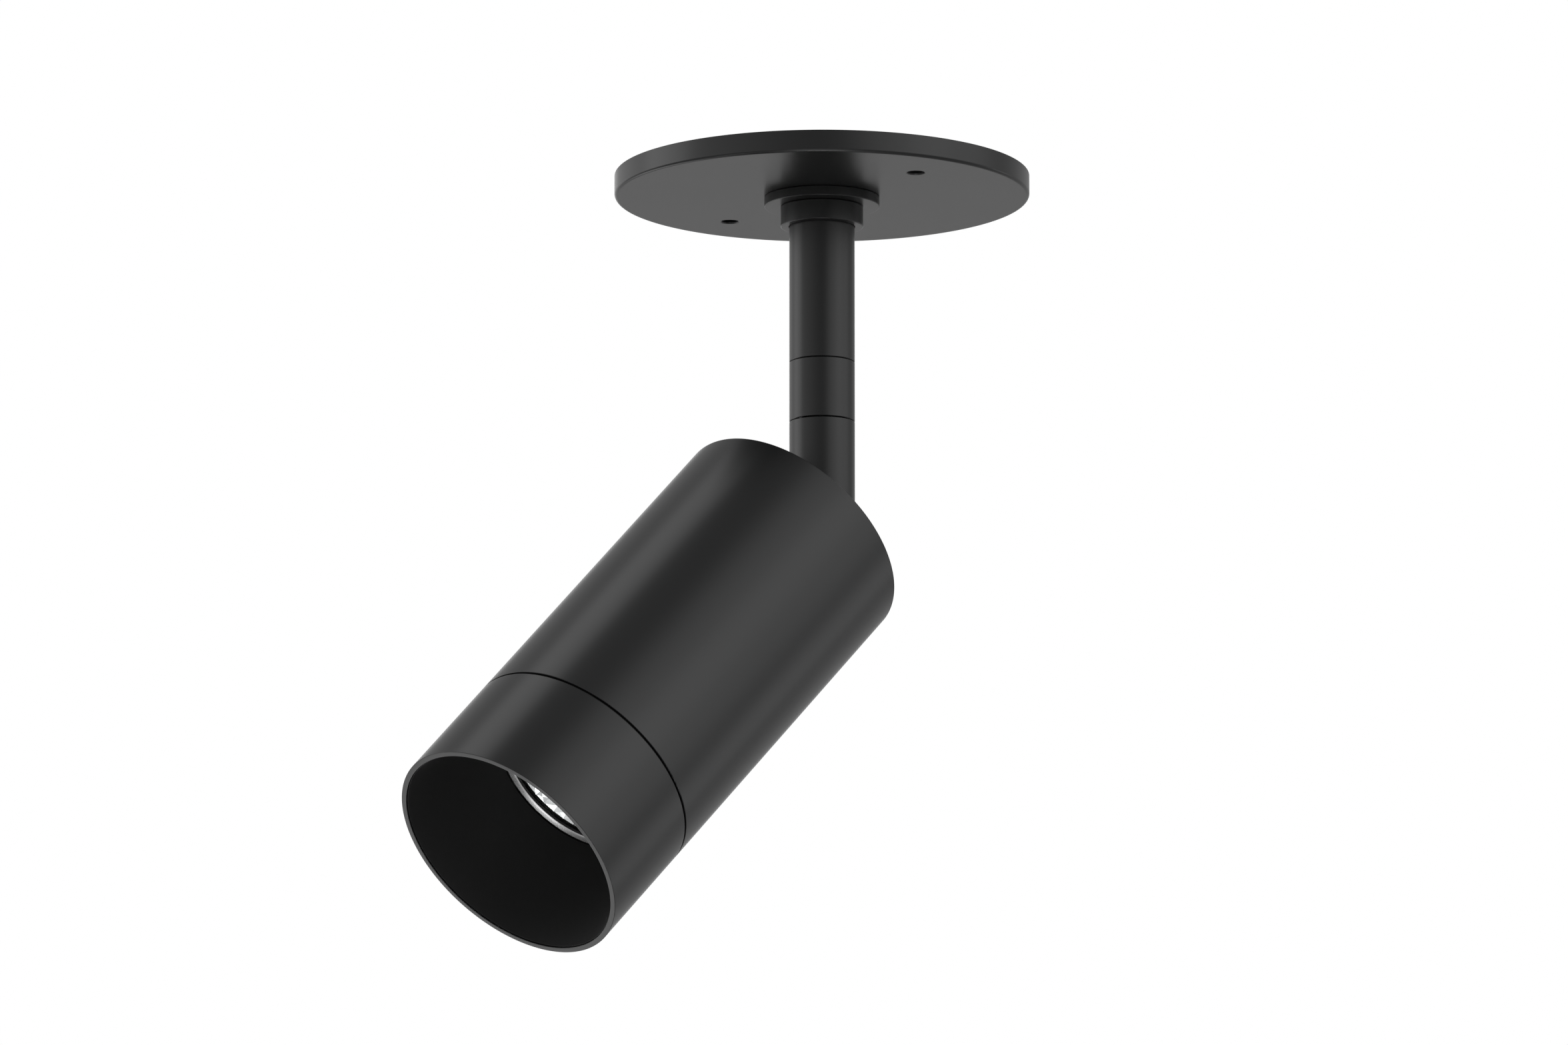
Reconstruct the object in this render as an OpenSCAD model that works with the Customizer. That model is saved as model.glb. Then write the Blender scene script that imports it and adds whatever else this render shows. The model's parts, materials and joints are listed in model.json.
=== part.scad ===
// Directional ceiling spotlight: a round canopy, a swivelling stem and a cylinder head on a fork joint.
// The ceiling face of the canopy is z = 0 and everything hangs below it, with the head tilted towards -Y.

/* [Canopy] */
// Diameter of the canopy disc
canopy_d = 127; // [118:1:140]
// Height of the canopy from the ceiling to its visible face
canopy_h = 6.75; // [6.7:0.05:10]
// Thickness of the canopy's visible floor
canopy_floor = 3; // [2:0.1:3]
// Width of the rim that rests on the ceiling
canopy_rim = 3; // [2:0.5:5]
// Bevel on the canopy's lower outer edge
canopy_bevel = 0.5; // [0.2:0.1:1]
// Distance between the two fixing holes, as on a 4 inch octagon box
fixing_pitch = 88.9; // [84:0.1:95]
// Diameter of each fixing hole
fixing_hole_d = 5.2; // [4.4:0.1:6]
// Diameter of the pads behind the fixing holes
fixing_pad_d = 13; // [10:0.5:15]
// Distance of the earth screw from the centre
earth_screw_r = 30; // [24:1:36]

/* [Stem mount] */
// Diameter of the wide boss under the canopy
boss_d = 35.2; // [32:0.2:40]
// Height of the wide boss
boss_h = 3; // [2:0.1:6]
// Length of the boss spigot that the stem slides over
boss_spigot = 8; // [7.5:0.5:14]
// Diameter of the collar round the top of the stem
collar_d = 25.2; // [24:0.2:29]
// Height of the collar
collar_h = 6.3; // [5:0.1:9]
// Diameter of the collar's set screw
collar_screw_d = 3; // [2.5:0.1:3.5]
// Outer diameter of the hollow threaded nipple
nipple_d = 10; // [9:0.1:10.4]
// Bore of the nipple, where the supply leads enter
nipple_bore = 7; // [5:0.1:7.4]
// Height of the jam nut on the nipple
jam_nut_h = 2.7; // [2:0.1:2.9]
// Width across the flats of the jam nut
jam_nut_af = 14; // [13:0.5:17]
// Thickness of the toothed lock washer
lock_washer_t = 0.7; // [0.4:0.1:0.8]

/* [Stem] */
// Outer diameter of the stem, its swivel and its fork
stem_d = 20; // [20:0.1:23]
// Wall of the stem tube
stem_wall = 2; // [1.2:0.1:2]
// Length of the stem tube
stem_len = 48.5; // [40:0.5:300]
// Height of the swivel housing
swivel_h = 18.5; // [16:0.1:26]
// Length of the swivel housing's spigot inside the stem tube
swivel_spigot = 9; // [5:0.5:12]
// Running gap between the swivel housing and the fork
swivel_gap = 0.3; // [0.25:0.05:0.8]
// Bevel on the edges that meet at the stem's seams
seam_bevel = 0.3; // [0.1:0.05:0.5]

/* [Swivel] */
// Diameter of the hollow spindle that the fork turns on
spindle_d = 9.8; // [9:0.1:10]
// Bore of the spindle, where the leads pass
spindle_bore = 6.4; // [5:0.1:6.8]
// Depth of the spindle's seat in the fork
spindle_seat = 8; // [6:0.5:10]
// Thickness of the swivel housing's floor
swivel_floor = 6; // [4.5:0.5:8]
// Diameter of the chamber above that floor
chamber_d = 13.6; // [13.4:0.1:14]
// Height of the nut on top of the spindle
spindle_nut_h = 3; // [2:0.5:4]
// Thickness of the flat washer under that nut
flat_washer_t = 0.8; // [0.5:0.1:1.2]
// Height of the cupped spring washer
spring_washer_h = 0.9; // [0.7:0.1:1.4]
// Diameter of the stop pin
stop_pin_d = 1.5; // [1.2:0.1:1.6]
// Radius at which the stop pin travels
stop_pin_r = 8; // [7.9:0.05:8.1]
// Height of the stop pin above the fork
stop_pin_rise = 2.5; // [1.5:0.1:3]
// Width of the web that ends the stop pin's travel
stop_web = 1; // [0.8:0.1:1.2]

/* [Knuckle] */
// Distance from the fork's top face to the tilt axis
fork_drop = 24.3; // [22:0.1:34]
// Width of the slot between the fork's ears
fork_slot = 12; // [11:0.1:12.6]
// Radius of the tongue's round end
tongue_end_r = 7; // [6.4:0.1:7.1]
// Width of the lead channel through the tongue
lead_channel = 5; // [4:0.1:5.2]
// Diameter of the pivot bolt
pivot_d = 4; // [3:0.1:4.5]
// Diameter of the pivot bolt's head
pivot_head_d = 7; // [6:0.1:7.4]
// Skin left over the pivot bolt's blind end
pivot_skin = 1.4; // [1:0.1:2]
// Thickness of each friction washer
friction_washer_t = 0.5; // [0.3:0.1:0.8]
// Diameter of the tilt lock screw
lock_screw_d = 2.5; // [2:0.1:2.6]
// Distance of the tilt lock screw from the tilt axis
lock_screw_up = 5.5; // [5.45:0.05:5.6]
// Diameter of the tongue's foot on the rear cap
foot_d = 30; // [28:0.5:40]
// Thickness of the tongue's foot
foot_t = 3; // [2.5:0.1:4]
// Diameter of the foot screws
foot_screw_d = 3; // [2.5:0.1:3.2]

/* [Head] */
// Tilt of the head away from hanging straight down
head_tilt = 45; // [0:1:90]
// Outer diameter of the head
head_d = 76; // [74:0.5:90]
// Distance from the tilt axis to the barrel's rear edge
head_standoff = 18.45; // [17:0.05:26]
// Length of the barrel
barrel_len = 114.3; // [112:0.1:150]
// Wall of the barrel
barrel_wall = 2; // [1.2:0.1:2]
// Width of the shadow gap between the barrel and the snoot
snoot_gap = 0.8; // [0.5:0.1:1.5]
// Depth of that shadow gap
snoot_gap_depth = 0.8; // [0.4:0.1:1]
// Length of the snoot
snoot_len = 37.3; // [36.5:0.1:50]
// Wall of the snoot at its front rim
snoot_wall = 1.7; // [1.2:0.1:2]
// Bevel on the head's rear and front edges
head_bevel = 0.3; // [0.1:0.05:0.5]
// Thickness of the rear cap
cap_t = 3; // [2.5:0.1:5]
// Depth of the rear cap inside the barrel's rear edge, which is the length of the barrel's lip
cap_inset = 1.5; // [0.5:0.1:3]
// Width of the lip that the rear cap seats against
barrel_lip = 1.5; // [1:0.1:2.5]
// Hole in the rear cap for the leads
cap_hole_d = 9; // [6:0.5:10]

/* [Driver and heat sink] */
// Distance from the barrel's axis to the tie rods
tie_r = 30; // [29.5:0.1:31]
// Width across the flats of the hexagonal tie rods
tie_af = 5.5; // [5:0.1:6]
// Diameter of the threads on the tie rods and cap screws
tie_thread_d = 3; // [2.5:0.1:3.2]
// Length of the rear tie rods, which is the height of the driver's bay
driver_bay = 29; // [28.5:0.5:32]
// Diameter of the driver's case
driver_d = 51; // [44:1:52]
// Height of the driver's case
driver_h = 20; // [14:0.5:20.5]
// Diameter of the driver's screws
driver_screw_d = 3; // [2:0.1:3.5]
// Distance of the driver's screws from the axis
driver_screw_r = 18; // [12:0.5:20]
// Height of the terminal block on the driver
terminal_h = 7; // [5:0.1:7.5]
// Thickness of the driver's bracket
bracket_t = 1.5; // [1:0.1:2.5]
// Length of the front tie rods
front_rod_len = 18.5; // [16:0.5:22]
// Number of fins
fin_count = 24; // [12:3:30]
// Thickness of a fin
fin_t = 1.6; // [1:0.1:2]
// Diameter of the heat sink's core
sink_core_d = 24; // [20:0.5:28]
// Thickness of the heat sink's front plate
sink_plate = 8; // [7:0.5:9]

/* [Light source] */
// Side of the square light-emitting board
board_w = 19; // [17:0.5:20]
// Thickness of the board
board_t = 1.5; // [1:0.1:2]
// Thickness of the thermal pad under the board
pad_t = 0.3; // [0.2:0.05:0.5]
// Diameter of the luminous disc
emitter_d = 14.5; // [10:0.5:15]
// Diameter of the board's holder
holder_d = 34; // [32:0.5:38]
// Height of the board's holder
holder_h = 4.2; // [3.8:0.1:5]
// Distance of the holder's screws from the axis
holder_screw_r = 13.2; // [12.8:0.1:13.4]
// Diameter of the holder's screws
holder_screw_d = 2.5; // [2:0.1:2.6]

/* [Optic] */
// Depth of the bright bezel behind the front rim
bezel_depth = 34.5; // [33.5:0.1:36]
// Radius of the bezel's window
bezel_window_r = 23.75; // [23:0.05:24.2]
// Thickness of the bezel's lip
bezel_lip = 0.85; // [0.6:0.05:1.2]
// Radius of the opening at the rear of the baffle
baffle_throat_r = 26; // [25:0.1:27]
// Thickness of the baffle
baffle_wall = 1.2; // [0.8:0.1:1.6]
// Outward bow of the baffle between its throat and its mouth
baffle_bow = 0.8; // [0:0.1:1.5]
// Thickness of the black gasket between the bezel and the lens
gasket_t = 0.4; // [0.3:0.05:0.6]
// Radius of the gasket's window and of the reflector's mouth
gasket_window_r = 22.6; // [22:0.05:22.9]
// Radius of the lens
lens_r = 24.6; // [24.4:0.05:24.8]
// Thickness of the lens
lens_t = 2; // [1.5:0.1:3]
// Wall of the cell that holds the lens
cell_wall = 2.6; // [2:0.1:2.8]
// Width of the flange at the cell's foot
cell_flange = 4.8; // [4.5:0.1:5.2]
// Diameter of the cell's screws
cell_screw_d = 2; // [1.6:0.1:2.4]
// Depth of the reflector
reflector_depth = 20.7; // [18:0.1:24]
// Wall of the reflector
reflector_wall = 1; // [0.8:0.1:1.2]
// Radius of the reflector's throat
reflector_throat_r = 8.6; // [7.8:0.1:9]
// Number of facet columns round the reflector
facet_columns = 28; // [16:2:36]
// Number of facet rows along the reflector
facet_rows = 9; // [5:1:12]

/* [Snoot mount] */
// Radial thickness of the front ring's spigot
ring_wall = 3.1; // [2.6:0.1:3.4]
// Length of the spigot that the snoot slides over
ring_spigot = 8.95; // [8:0.05:12]
// Thickness of the O-ring that grips the snoot
o_ring_t = 1.6; // [1.2:0.1:1.8]

/* [Clearances] */
// Radial clearance of a turning fit
run_clear = 0.05; // [0.03:0.01:0.08]
// Radial clearance of a fixed fit
fit_clear = 0.05; // [0.02:0.01:0.1]
// Clearance of a screw through a plain hole
hole_clear = 0.15; // [0.1:0.05:0.2]
// Gap kept between parts that move past each other
move_clear = 0.5; // [0.4:0.05:0.6]
// Gap between the bezel and the baffle that comes off with the snoot
bezel_gap = 0.3; // [0.2:0.05:0.5]

/* [Hidden] */
$fn = 96;

black_paint = "#2b2d2d";
matt_black = "#141414";
bare_metal = "silver";
eps = 0.01;

// Heights on the stem's axis
recess_z = -(canopy_h - canopy_floor);
boss_top_z = -canopy_h;
boss_z = boss_top_z - boss_h;
stem_bottom_z = boss_z - stem_len;
swivel_bottom_z = stem_bottom_z - swivel_h;
fork_top_z = swivel_bottom_z - swivel_gap;
pivot_z = fork_top_z - fork_drop;
nut_seat_z = recess_z + lock_washer_t;
nut_top_z = nut_seat_z + jam_nut_h;
chamber_floor_z = swivel_bottom_z + swivel_floor;
stem_r = stem_d / 2;
stem_bore_r = stem_r - stem_wall;
spindle_r = spindle_d / 2;

// Places along the head's axis, measured forwards from the tilt axis
cap_back = head_standoff + cap_inset;
cap_front = cap_back + cap_t;
bracket_back = cap_front + driver_bay;
bracket_front = bracket_back + bracket_t;
barrel_front = head_standoff + barrel_len;
snoot_back = barrel_front + snoot_gap;
snoot_front = snoot_back + snoot_len;
bezel_front = snoot_front - bezel_depth;
gasket_front = bezel_front - bezel_lip - fit_clear;
lens_front = gasket_front - gasket_t - fit_clear;
lens_back = lens_front - lens_t;
baffle_back = bezel_front + bezel_gap;
head_r = head_d / 2;
barrel_bore_r = head_r - barrel_wall;
snoot_bore_r = head_r - snoot_wall;
reflector_front = lens_back - 2 * fit_clear;
reflector_back = reflector_front - reflector_depth;
holder_front = reflector_back - fit_clear;
sink_front = holder_front - holder_h;
sink_plate_back = sink_front - sink_plate;
sink_back = bracket_front + front_rod_len;
fin_h = sink_plate_back - sink_back;
tie_angles = [90, 210, 330];

lip_r = barrel_bore_r - barrel_lip;
screw_head = 1.8;

// Turns a profile given as [radius, distance forwards] about the head's axis
module along_head(outline) {
    mirror([0, 0, 1]) rotate_extrude() polygon(outline);
}

// Places the head's own frame, which points forwards along -Z from the tilt axis
module on_head() {
    translate([0, 0, pivot_z]) rotate([-head_tilt, 0, 0]) children();
}

module tube(outer_r, inner_r, low, high) {
    translate([0, 0, low]) difference() {
        cylinder(r = outer_r, h = high - low);
        translate([0, 0, -eps]) cylinder(r = inner_r, h = high - low + 2 * eps);
    }
}

module hex_bar(across_flats, low, high) {
    translate([0, 0, low]) cylinder(d = across_flats / cos(30), h = high - low, $fn = 6);
}

// Hexagon nut with its corners turned off on both faces
module hex_nut(across_flats, bore_d, low, high) {
    corner_r = across_flats / 2 / cos(30);
    flat_r = across_flats / 2 * 0.97;
    cut = (corner_r - flat_r) * tan(30);
    difference() {
        intersection() {
            hex_bar(across_flats, low, high);
            rotate_extrude() polygon([[0, low], [flat_r, low], [corner_r, low + cut],
                [corner_r, high - cut], [flat_r, high], [0, high]]);
        }
        translate([0, 0, low - eps]) cylinder(d = bore_d, h = high - low + 2 * eps);
    }
}

module canopy_plate() {
    rim_r = canopy_d / 2;
    bevel_top = 0.3;
    color(black_paint) difference() {
        union() {
            rotate_extrude() polygon([[0, -canopy_h], [rim_r - canopy_bevel, -canopy_h],
                [rim_r, -canopy_h + canopy_bevel], [rim_r, -bevel_top], [rim_r - bevel_top, 0],
                [rim_r - canopy_rim, 0], [rim_r - canopy_rim, recess_z], [0, recess_z]]);
            for (side = [-1, 1]) translate([side * fixing_pitch / 2, 0, recess_z - eps])
                cylinder(d = fixing_pad_d, h = eps - recess_z);
        }
        for (side = [-1, 1]) translate([side * fixing_pitch / 2, 0, -canopy_h - 1])
            cylinder(d = fixing_hole_d, h = canopy_h + 2);
        translate([0, 0, -canopy_h - 1]) cylinder(d = nipple_d + 2 * hole_clear, h = canopy_h);
        translate([0, earth_screw_r, recess_z - earth_thread_len - fit_clear])
            cylinder(d = earth_thread_d + 2 * fit_clear, h = canopy_h);
    }
}

earth_thread_d = 3.5;
earth_thread_len = 1.6;

module earth_screw() {
    washer_h = 0.6;
    head_h = 2;
    color("#2f7a3a") translate([0, earth_screw_r, recess_z]) difference() {
        union() {
            translate([0, 0, -earth_thread_len]) cylinder(d = earth_thread_d, h = earth_thread_len + eps);
            cylinder(r = 4, h = washer_h);
            hex_bar(6.3, washer_h - eps, head_h + washer_h);
        }
        translate([-5, -0.5, head_h - 0.4]) cube([10, 1, 2]);
    }
}

module boss_flange() {
    spigot_r = stem_bore_r - fit_clear;
    boss_r = boss_d / 2;
    color(black_paint) difference() {
        rotate_extrude() polygon([[0, boss_top_z], [boss_r, boss_top_z],
            [boss_r, boss_z + seam_bevel], [boss_r - seam_bevel, boss_z], [spigot_r, boss_z],
            [spigot_r, boss_z - boss_spigot + 1], [spigot_r - 1, boss_z - boss_spigot],
            [0, boss_z - boss_spigot]]);
        translate([0, 0, boss_z - boss_spigot - 1])
            cylinder(d = nipple_d + 2 * fit_clear, h = boss_h + boss_spigot + 2);
    }
}

collar_screw_z = boss_z - collar_h / 2;

module collar_screw_hole() {
    translate([0, 0, collar_screw_z]) rotate([-90, 0, 0])
        cylinder(d = collar_screw_d + 2 * fit_clear, h = collar_d);
}

module stem_collar() {
    collar_r = collar_d / 2;
    bore_r = stem_r + fit_clear;
    color(black_paint) difference() {
        rotate_extrude() polygon([[bore_r, boss_z], [collar_r, boss_z],
            [collar_r, boss_z - collar_h + seam_bevel], [collar_r - seam_bevel, boss_z - collar_h],
            [bore_r, boss_z - collar_h]]);
        collar_screw_hole();
    }
}

module collar_set_screw() {
    tip = stem_bore_r + fit_clear;
    back = collar_d / 2 - 0.5;
    color(matt_black) translate([0, 0, collar_screw_z]) rotate([-90, 0, 0]) difference() {
        translate([0, 0, tip]) cylinder(d = collar_screw_d, h = back - tip);
        translate([0, 0, back - 1.4]) cylinder(d = 1.7, h = 2, $fn = 6);
    }
}

module hollow_nipple() {
    color("goldenrod") tube(nipple_d / 2, nipple_bore / 2, boss_z - boss_spigot + 0.5, nut_top_z);
}

module nipple_nut() {
    color(bare_metal) hex_nut(jam_nut_af, nipple_d + 2 * fit_clear, nut_seat_z, nut_top_z);
}

module lock_washer() {
    teeth = 12;
    tooth_len = 1.2;
    tooth_gap = 1.6;
    color(bare_metal) difference() {
        tube(jam_nut_af / 2 + tooth_len, nipple_d / 2 + hole_clear, recess_z, nut_seat_z);
        for (i = [0:teeth - 1]) rotate(i * 360 / teeth)
            translate([jam_nut_af / 2, -tooth_gap / 2, recess_z - 1])
                cube([2 * tooth_len, tooth_gap, lock_washer_t + 2]);
    }
}

module stem_tube() {
    color(black_paint) difference() {
        rotate_extrude() polygon([[stem_bore_r, boss_z], [stem_r, boss_z],
            [stem_r, stem_bottom_z + seam_bevel], [stem_r - seam_bevel, stem_bottom_z],
            [stem_bore_r, stem_bottom_z]]);
        collar_screw_hole();
    }
}

// Upper half of the swivel: spigot in the stem, chamber for the nut, groove for the stop pin
module swivel_housing() {
    spigot_r = stem_bore_r - fit_clear;
    low = swivel_bottom_z;
    groove_half = stop_pin_d / 2 + 0.2;
    color(black_paint) difference() {
        rotate_extrude() polygon([
            [spindle_r + run_clear, low], [stem_r - seam_bevel, low], [stem_r, low + seam_bevel],
            [stem_r, stem_bottom_z - seam_bevel], [stem_r - seam_bevel, stem_bottom_z],
            [spigot_r, stem_bottom_z], [spigot_r, stem_bottom_z + swivel_spigot - 1],
            [spigot_r - 0.6, stem_bottom_z + swivel_spigot],
            [chamber_d / 2, stem_bottom_z + swivel_spigot], [chamber_d / 2, chamber_floor_z],
            [spindle_r + run_clear, chamber_floor_z]]);
        difference() {
            tube(stop_pin_r + groove_half, stop_pin_r - groove_half, low - 1,
                low + stop_pin_rise);
            translate([-stop_web / 2, 0, low - 2]) cube([stop_web, stem_d, stop_pin_rise + 4]);
        }
    }
}

module thrust_washer() {
    outer_r = stop_pin_r - stop_pin_d / 2 - 0.4;
    color("ivory") tube(outer_r, spindle_r + run_clear, fork_top_z + run_clear,
        swivel_bottom_z - run_clear);
}

stop_pin_seat = 3;

module stop_pin() {
    color(bare_metal) translate([0, -stop_pin_r, fork_top_z - stop_pin_seat])
        cylinder(d = stop_pin_d, h = stop_pin_seat + stop_pin_rise);
}

spring_washer_z = chamber_floor_z + run_clear;
flat_washer_z = spring_washer_z + spring_washer_h + run_clear;
spindle_nut_z = flat_washer_z + flat_washer_t + run_clear;
spindle_top_z = spindle_nut_z + spindle_nut_h + 0.6;
chamber_part_r = chamber_d / 2 - 0.3;

module swivel_spindle() {
    color(bare_metal) tube(spindle_r, spindle_bore / 2, fork_top_z - spindle_seat + fit_clear,
        spindle_top_z);
}

module spindle_nut() {
    color(bare_metal) hex_nut(2 * chamber_part_r * cos(30), spindle_d + 2 * fit_clear,
        spindle_nut_z, spindle_nut_z + spindle_nut_h);
}

module flat_washer() {
    color(bare_metal) tube(chamber_part_r, spindle_r + run_clear, flat_washer_z,
        flat_washer_z + flat_washer_t);
}

module spring_washer() {
    inner_r = spindle_r + run_clear;
    metal = 0.45;
    top = spring_washer_z + spring_washer_h;
    color(bare_metal) rotate_extrude() polygon([[inner_r, top - metal], [chamber_part_r, spring_washer_z],
        [chamber_part_r, spring_washer_z + metal], [inner_r, top]]);
}

pocket_r = tongue_end_r + move_clear;
ear_inner = fork_slot / 2;
pivot_head_seat = stem_r - 2.4;
pivot_head_h = 1.6;
pivot_tip = stem_r - pivot_skin;

// Lower half of the swivel: a round-ended fork whose slot opens to the front and below
module knuckle_fork() {
    color(black_paint) difference() {
        intersection() {
            rotate_extrude() polygon([[0, pivot_z - stem_r], [stem_r, pivot_z - stem_r],
                [stem_r, fork_top_z - seam_bevel], [stem_r - seam_bevel, fork_top_z], [0, fork_top_z]]);
            union() {
                translate([-stem_r - 1, -stem_r - 1, pivot_z]) cube([stem_d + 2, stem_d + 2, fork_drop + 1]);
                translate([0, 0, pivot_z]) rotate([0, 90, 0])
                    cylinder(r = stem_r, h = stem_d + 2, center = true);
            }
        }
        fork_pocket();
        translate([0, 0, fork_top_z - spindle_seat])
            cylinder(r = spindle_r + fit_clear, h = spindle_seat + 1);
        translate([0, 0, pivot_z]) cylinder(d = spindle_bore, h = fork_drop);
        translate([0, -stop_pin_r, fork_top_z - stop_pin_seat - fit_clear])
            cylinder(d = stop_pin_d + 2 * fit_clear, h = stop_pin_seat + 1);
        translate([-stem_r - 1, 0, pivot_z]) rotate([0, 90, 0])
            cylinder(d = pivot_d + 2 * fit_clear, h = stem_r + 1 + pivot_tip + fit_clear);
        translate([-pivot_head_seat, 0, pivot_z]) rotate([0, -90, 0])
            cylinder(d = pivot_head_d + 2 * hole_clear, h = stem_r);
        translate([-stem_r - 1, 0, pivot_z + lock_screw_up]) rotate([0, 90, 0])
            cylinder(d = lock_screw_d + 2 * fit_clear, h = stem_r);
    }
}

// Room for the tongue: a round back, open below, and open to the front as far as level
module fork_pocket() {
    reach = stem_r + 1;
    translate([-ear_inner, 0, pivot_z]) {
        rotate([0, 90, 0]) cylinder(r = pocket_r, h = fork_slot);
        translate([0, -reach, 0]) cube([fork_slot, reach, pocket_r]);
        translate([0, -reach, -reach]) cube([fork_slot, reach + pocket_r, reach]);
    }
}

// Bolt through both ears and the tongue, screwed into the far ear; the leads pass on both sides of it
module pivot_bolt() {
    seat = pivot_head_seat + fit_clear;
    color(matt_black) translate([0, 0, pivot_z]) rotate([0, -90, 0]) difference() {
        union() {
            translate([0, 0, -pivot_tip]) cylinder(d = pivot_d, h = pivot_tip + seat + eps);
            translate([0, 0, seat]) cylinder(d = pivot_head_d, h = pivot_head_h);
        }
        translate([0, 0, seat + 0.6]) cylinder(d = 2.8, h = 3, $fn = 6);
    }
}

module friction_washers() {
    color("ivory") for (side = [-1, 1]) translate([0, 0, pivot_z]) rotate([0, side * 90, 0])
        tube(tongue_end_r - 3, pivot_d / 2 + run_clear, ear_inner - run_clear - friction_washer_t,
            ear_inner - run_clear);
}

tongue_half = ear_inner - 2 * run_clear - friction_washer_t;

module tilt_lock_screw() {
    tip = tongue_half + run_clear;
    back = stem_r - 0.7;
    color(matt_black) translate([0, 0, pivot_z + lock_screw_up]) rotate([0, -90, 0]) difference() {
        translate([0, 0, tip]) cylinder(d = lock_screw_d, h = back - tip);
        translate([0, 0, back - 1.2]) cylinder(d = 1.4, h = 2, $fn = 6);
    }
}

foot_back = cap_back - foot_t;
foot_screw_x = (tongue_half + foot_d / 2) / 2;

// Tongue of the tilt joint, flared into the foot that is screwed to the rear cap
module hinge_tongue() {
    flare_start = stem_r + 1;
    flare_half = tongue_end_r + 4;
    channel_half = tongue_end_r - 2.6;
    color(black_paint) on_head() difference() {
        union() {
            translate([-tongue_half, 0, 0]) rotate([90, 0, 90]) linear_extrude(2 * tongue_half) union() {
                circle(r = tongue_end_r);
                polygon([[-tongue_end_r, 0], [tongue_end_r, 0], [tongue_end_r, -flare_start],
                    [flare_half, -foot_back - eps], [-flare_half, -foot_back - eps],
                    [-tongue_end_r, -flare_start]]);
            }
            along_head([[0, foot_back], [foot_d / 2 - 0.6, foot_back],
                [foot_d / 2, foot_back + 0.6], [foot_d / 2, cap_back], [0, cap_back]]);
        }
        rotate([0, 90, 0]) cylinder(d = pivot_d + 2 * run_clear, h = stem_d, center = true);
        translate([-lead_channel / 2, -stem_r, -channel_half])
            cube([lead_channel, stem_r + channel_half, stem_r + channel_half]);
        translate([-lead_channel / 2, -channel_half, -cap_back - 1])
            cube([lead_channel, 2 * channel_half, cap_back + 1]);
        for (side = [-1, 1]) translate([side * foot_screw_x, 0, -cap_back - 1])
            cylinder(d = foot_screw_d + 2 * hole_clear, h = foot_t + 2);
    }
}

// Cheese-head screw with a hexagon socket: the shank runs down from z = 0 and the head stands above
module socket_screw(thread_d, length) {
    head_h = thread_d * 0.65;
    color(bare_metal) difference() {
        union() {
            cylinder(d = thread_d * screw_head, h = head_h);
            translate([0, 0, -length]) cylinder(d = thread_d, h = length + eps);
        }
        translate([0, 0, head_h * 0.4]) cylinder(d = thread_d * 0.8, h = head_h, $fn = 6);
    }
}

module foot_screws() {
    on_head() for (side = [-1, 1]) translate([side * foot_screw_x, 0, -foot_back])
        socket_screw(foot_screw_d, foot_t + cap_t - 0.3);
}

module rear_cap() {
    cap_r = barrel_bore_r - fit_clear;
    color(black_paint) on_head() difference() {
        along_head([[0, cap_back], [cap_r, cap_back], [cap_r, cap_front], [0, cap_front]]);
        translate([0, 0, -cap_front - 1]) cylinder(d = cap_hole_d, h = cap_t + 2);
        for (side = [-1, 1]) translate([side * foot_screw_x, 0, -cap_front - 1])
            cylinder(d = foot_screw_d + 2 * fit_clear, h = cap_t + 2);
        at_ties() {
            translate([0, 0, -cap_front - 1]) cylinder(d = tie_thread_d + 2 * hole_clear, h = cap_t + 2);
            countersink(hole_clear);
        }
    }
}

module at_ties() {
    for (a = tie_angles) rotate(a) translate([tie_r, 0, 0]) children();
}

cap_screw_head_h = 1.7;
// How far a screw or stud reaches into a tie rod or a boss of the heat sink
stud_grip = 5;

// Cone of a countersunk head set flush in the rear cap
module countersink(grow) {
    mirror([0, 0, 1]) translate([0, 0, cap_back - eps]) cylinder(r1 = tie_thread_d + grow,
        r2 = tie_thread_d / 2 + grow, h = cap_screw_head_h);
}

module rear_cap_screws() {
    color(bare_metal) on_head() at_ties() difference() {
        union() {
            countersink(0);
            translate([0, 0, -cap_front - stud_grip])
                cylinder(d = tie_thread_d, h = stud_grip + cap_t - 0.5);
        }
        translate([0, 0, -cap_back - 1]) cylinder(d = 2, h = 2, $fn = 6);
    }
}

// Tube with an inner lip at the rear that the rear cap seats against
module barrel() {
    color(black_paint) on_head() along_head([
        [lip_r, head_standoff], [head_r - head_bevel, head_standoff],
        [head_r, head_standoff + head_bevel], [head_r, barrel_front - head_bevel / 2],
        [head_r - head_bevel / 2, barrel_front], [barrel_bore_r, barrel_front],
        [barrel_bore_r, cap_back], [lip_r, cap_back]]);
}

// Hexagonal rod between two places, with a threaded hole behind and a stud in front
module tie_rod(back, front, stud) {
    mirror([0, 0, 1]) difference() {
        union() {
            hex_bar(tie_af, back, front);
            translate([0, 0, front - eps]) cylinder(d = tie_thread_d, h = stud + eps);
        }
        translate([0, 0, back - eps]) cylinder(d = tie_thread_d + 2 * fit_clear, h = stud_grip + 0.5);
    }
}

module rear_tie_rods() {
    color(bare_metal) on_head() at_ties() tie_rod(cap_front, bracket_back, bracket_t + stud_grip);
}

module front_tie_rods() {
    color(bare_metal) on_head() at_ties() tie_rod(bracket_front, sink_back, stud_grip);
}

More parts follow.
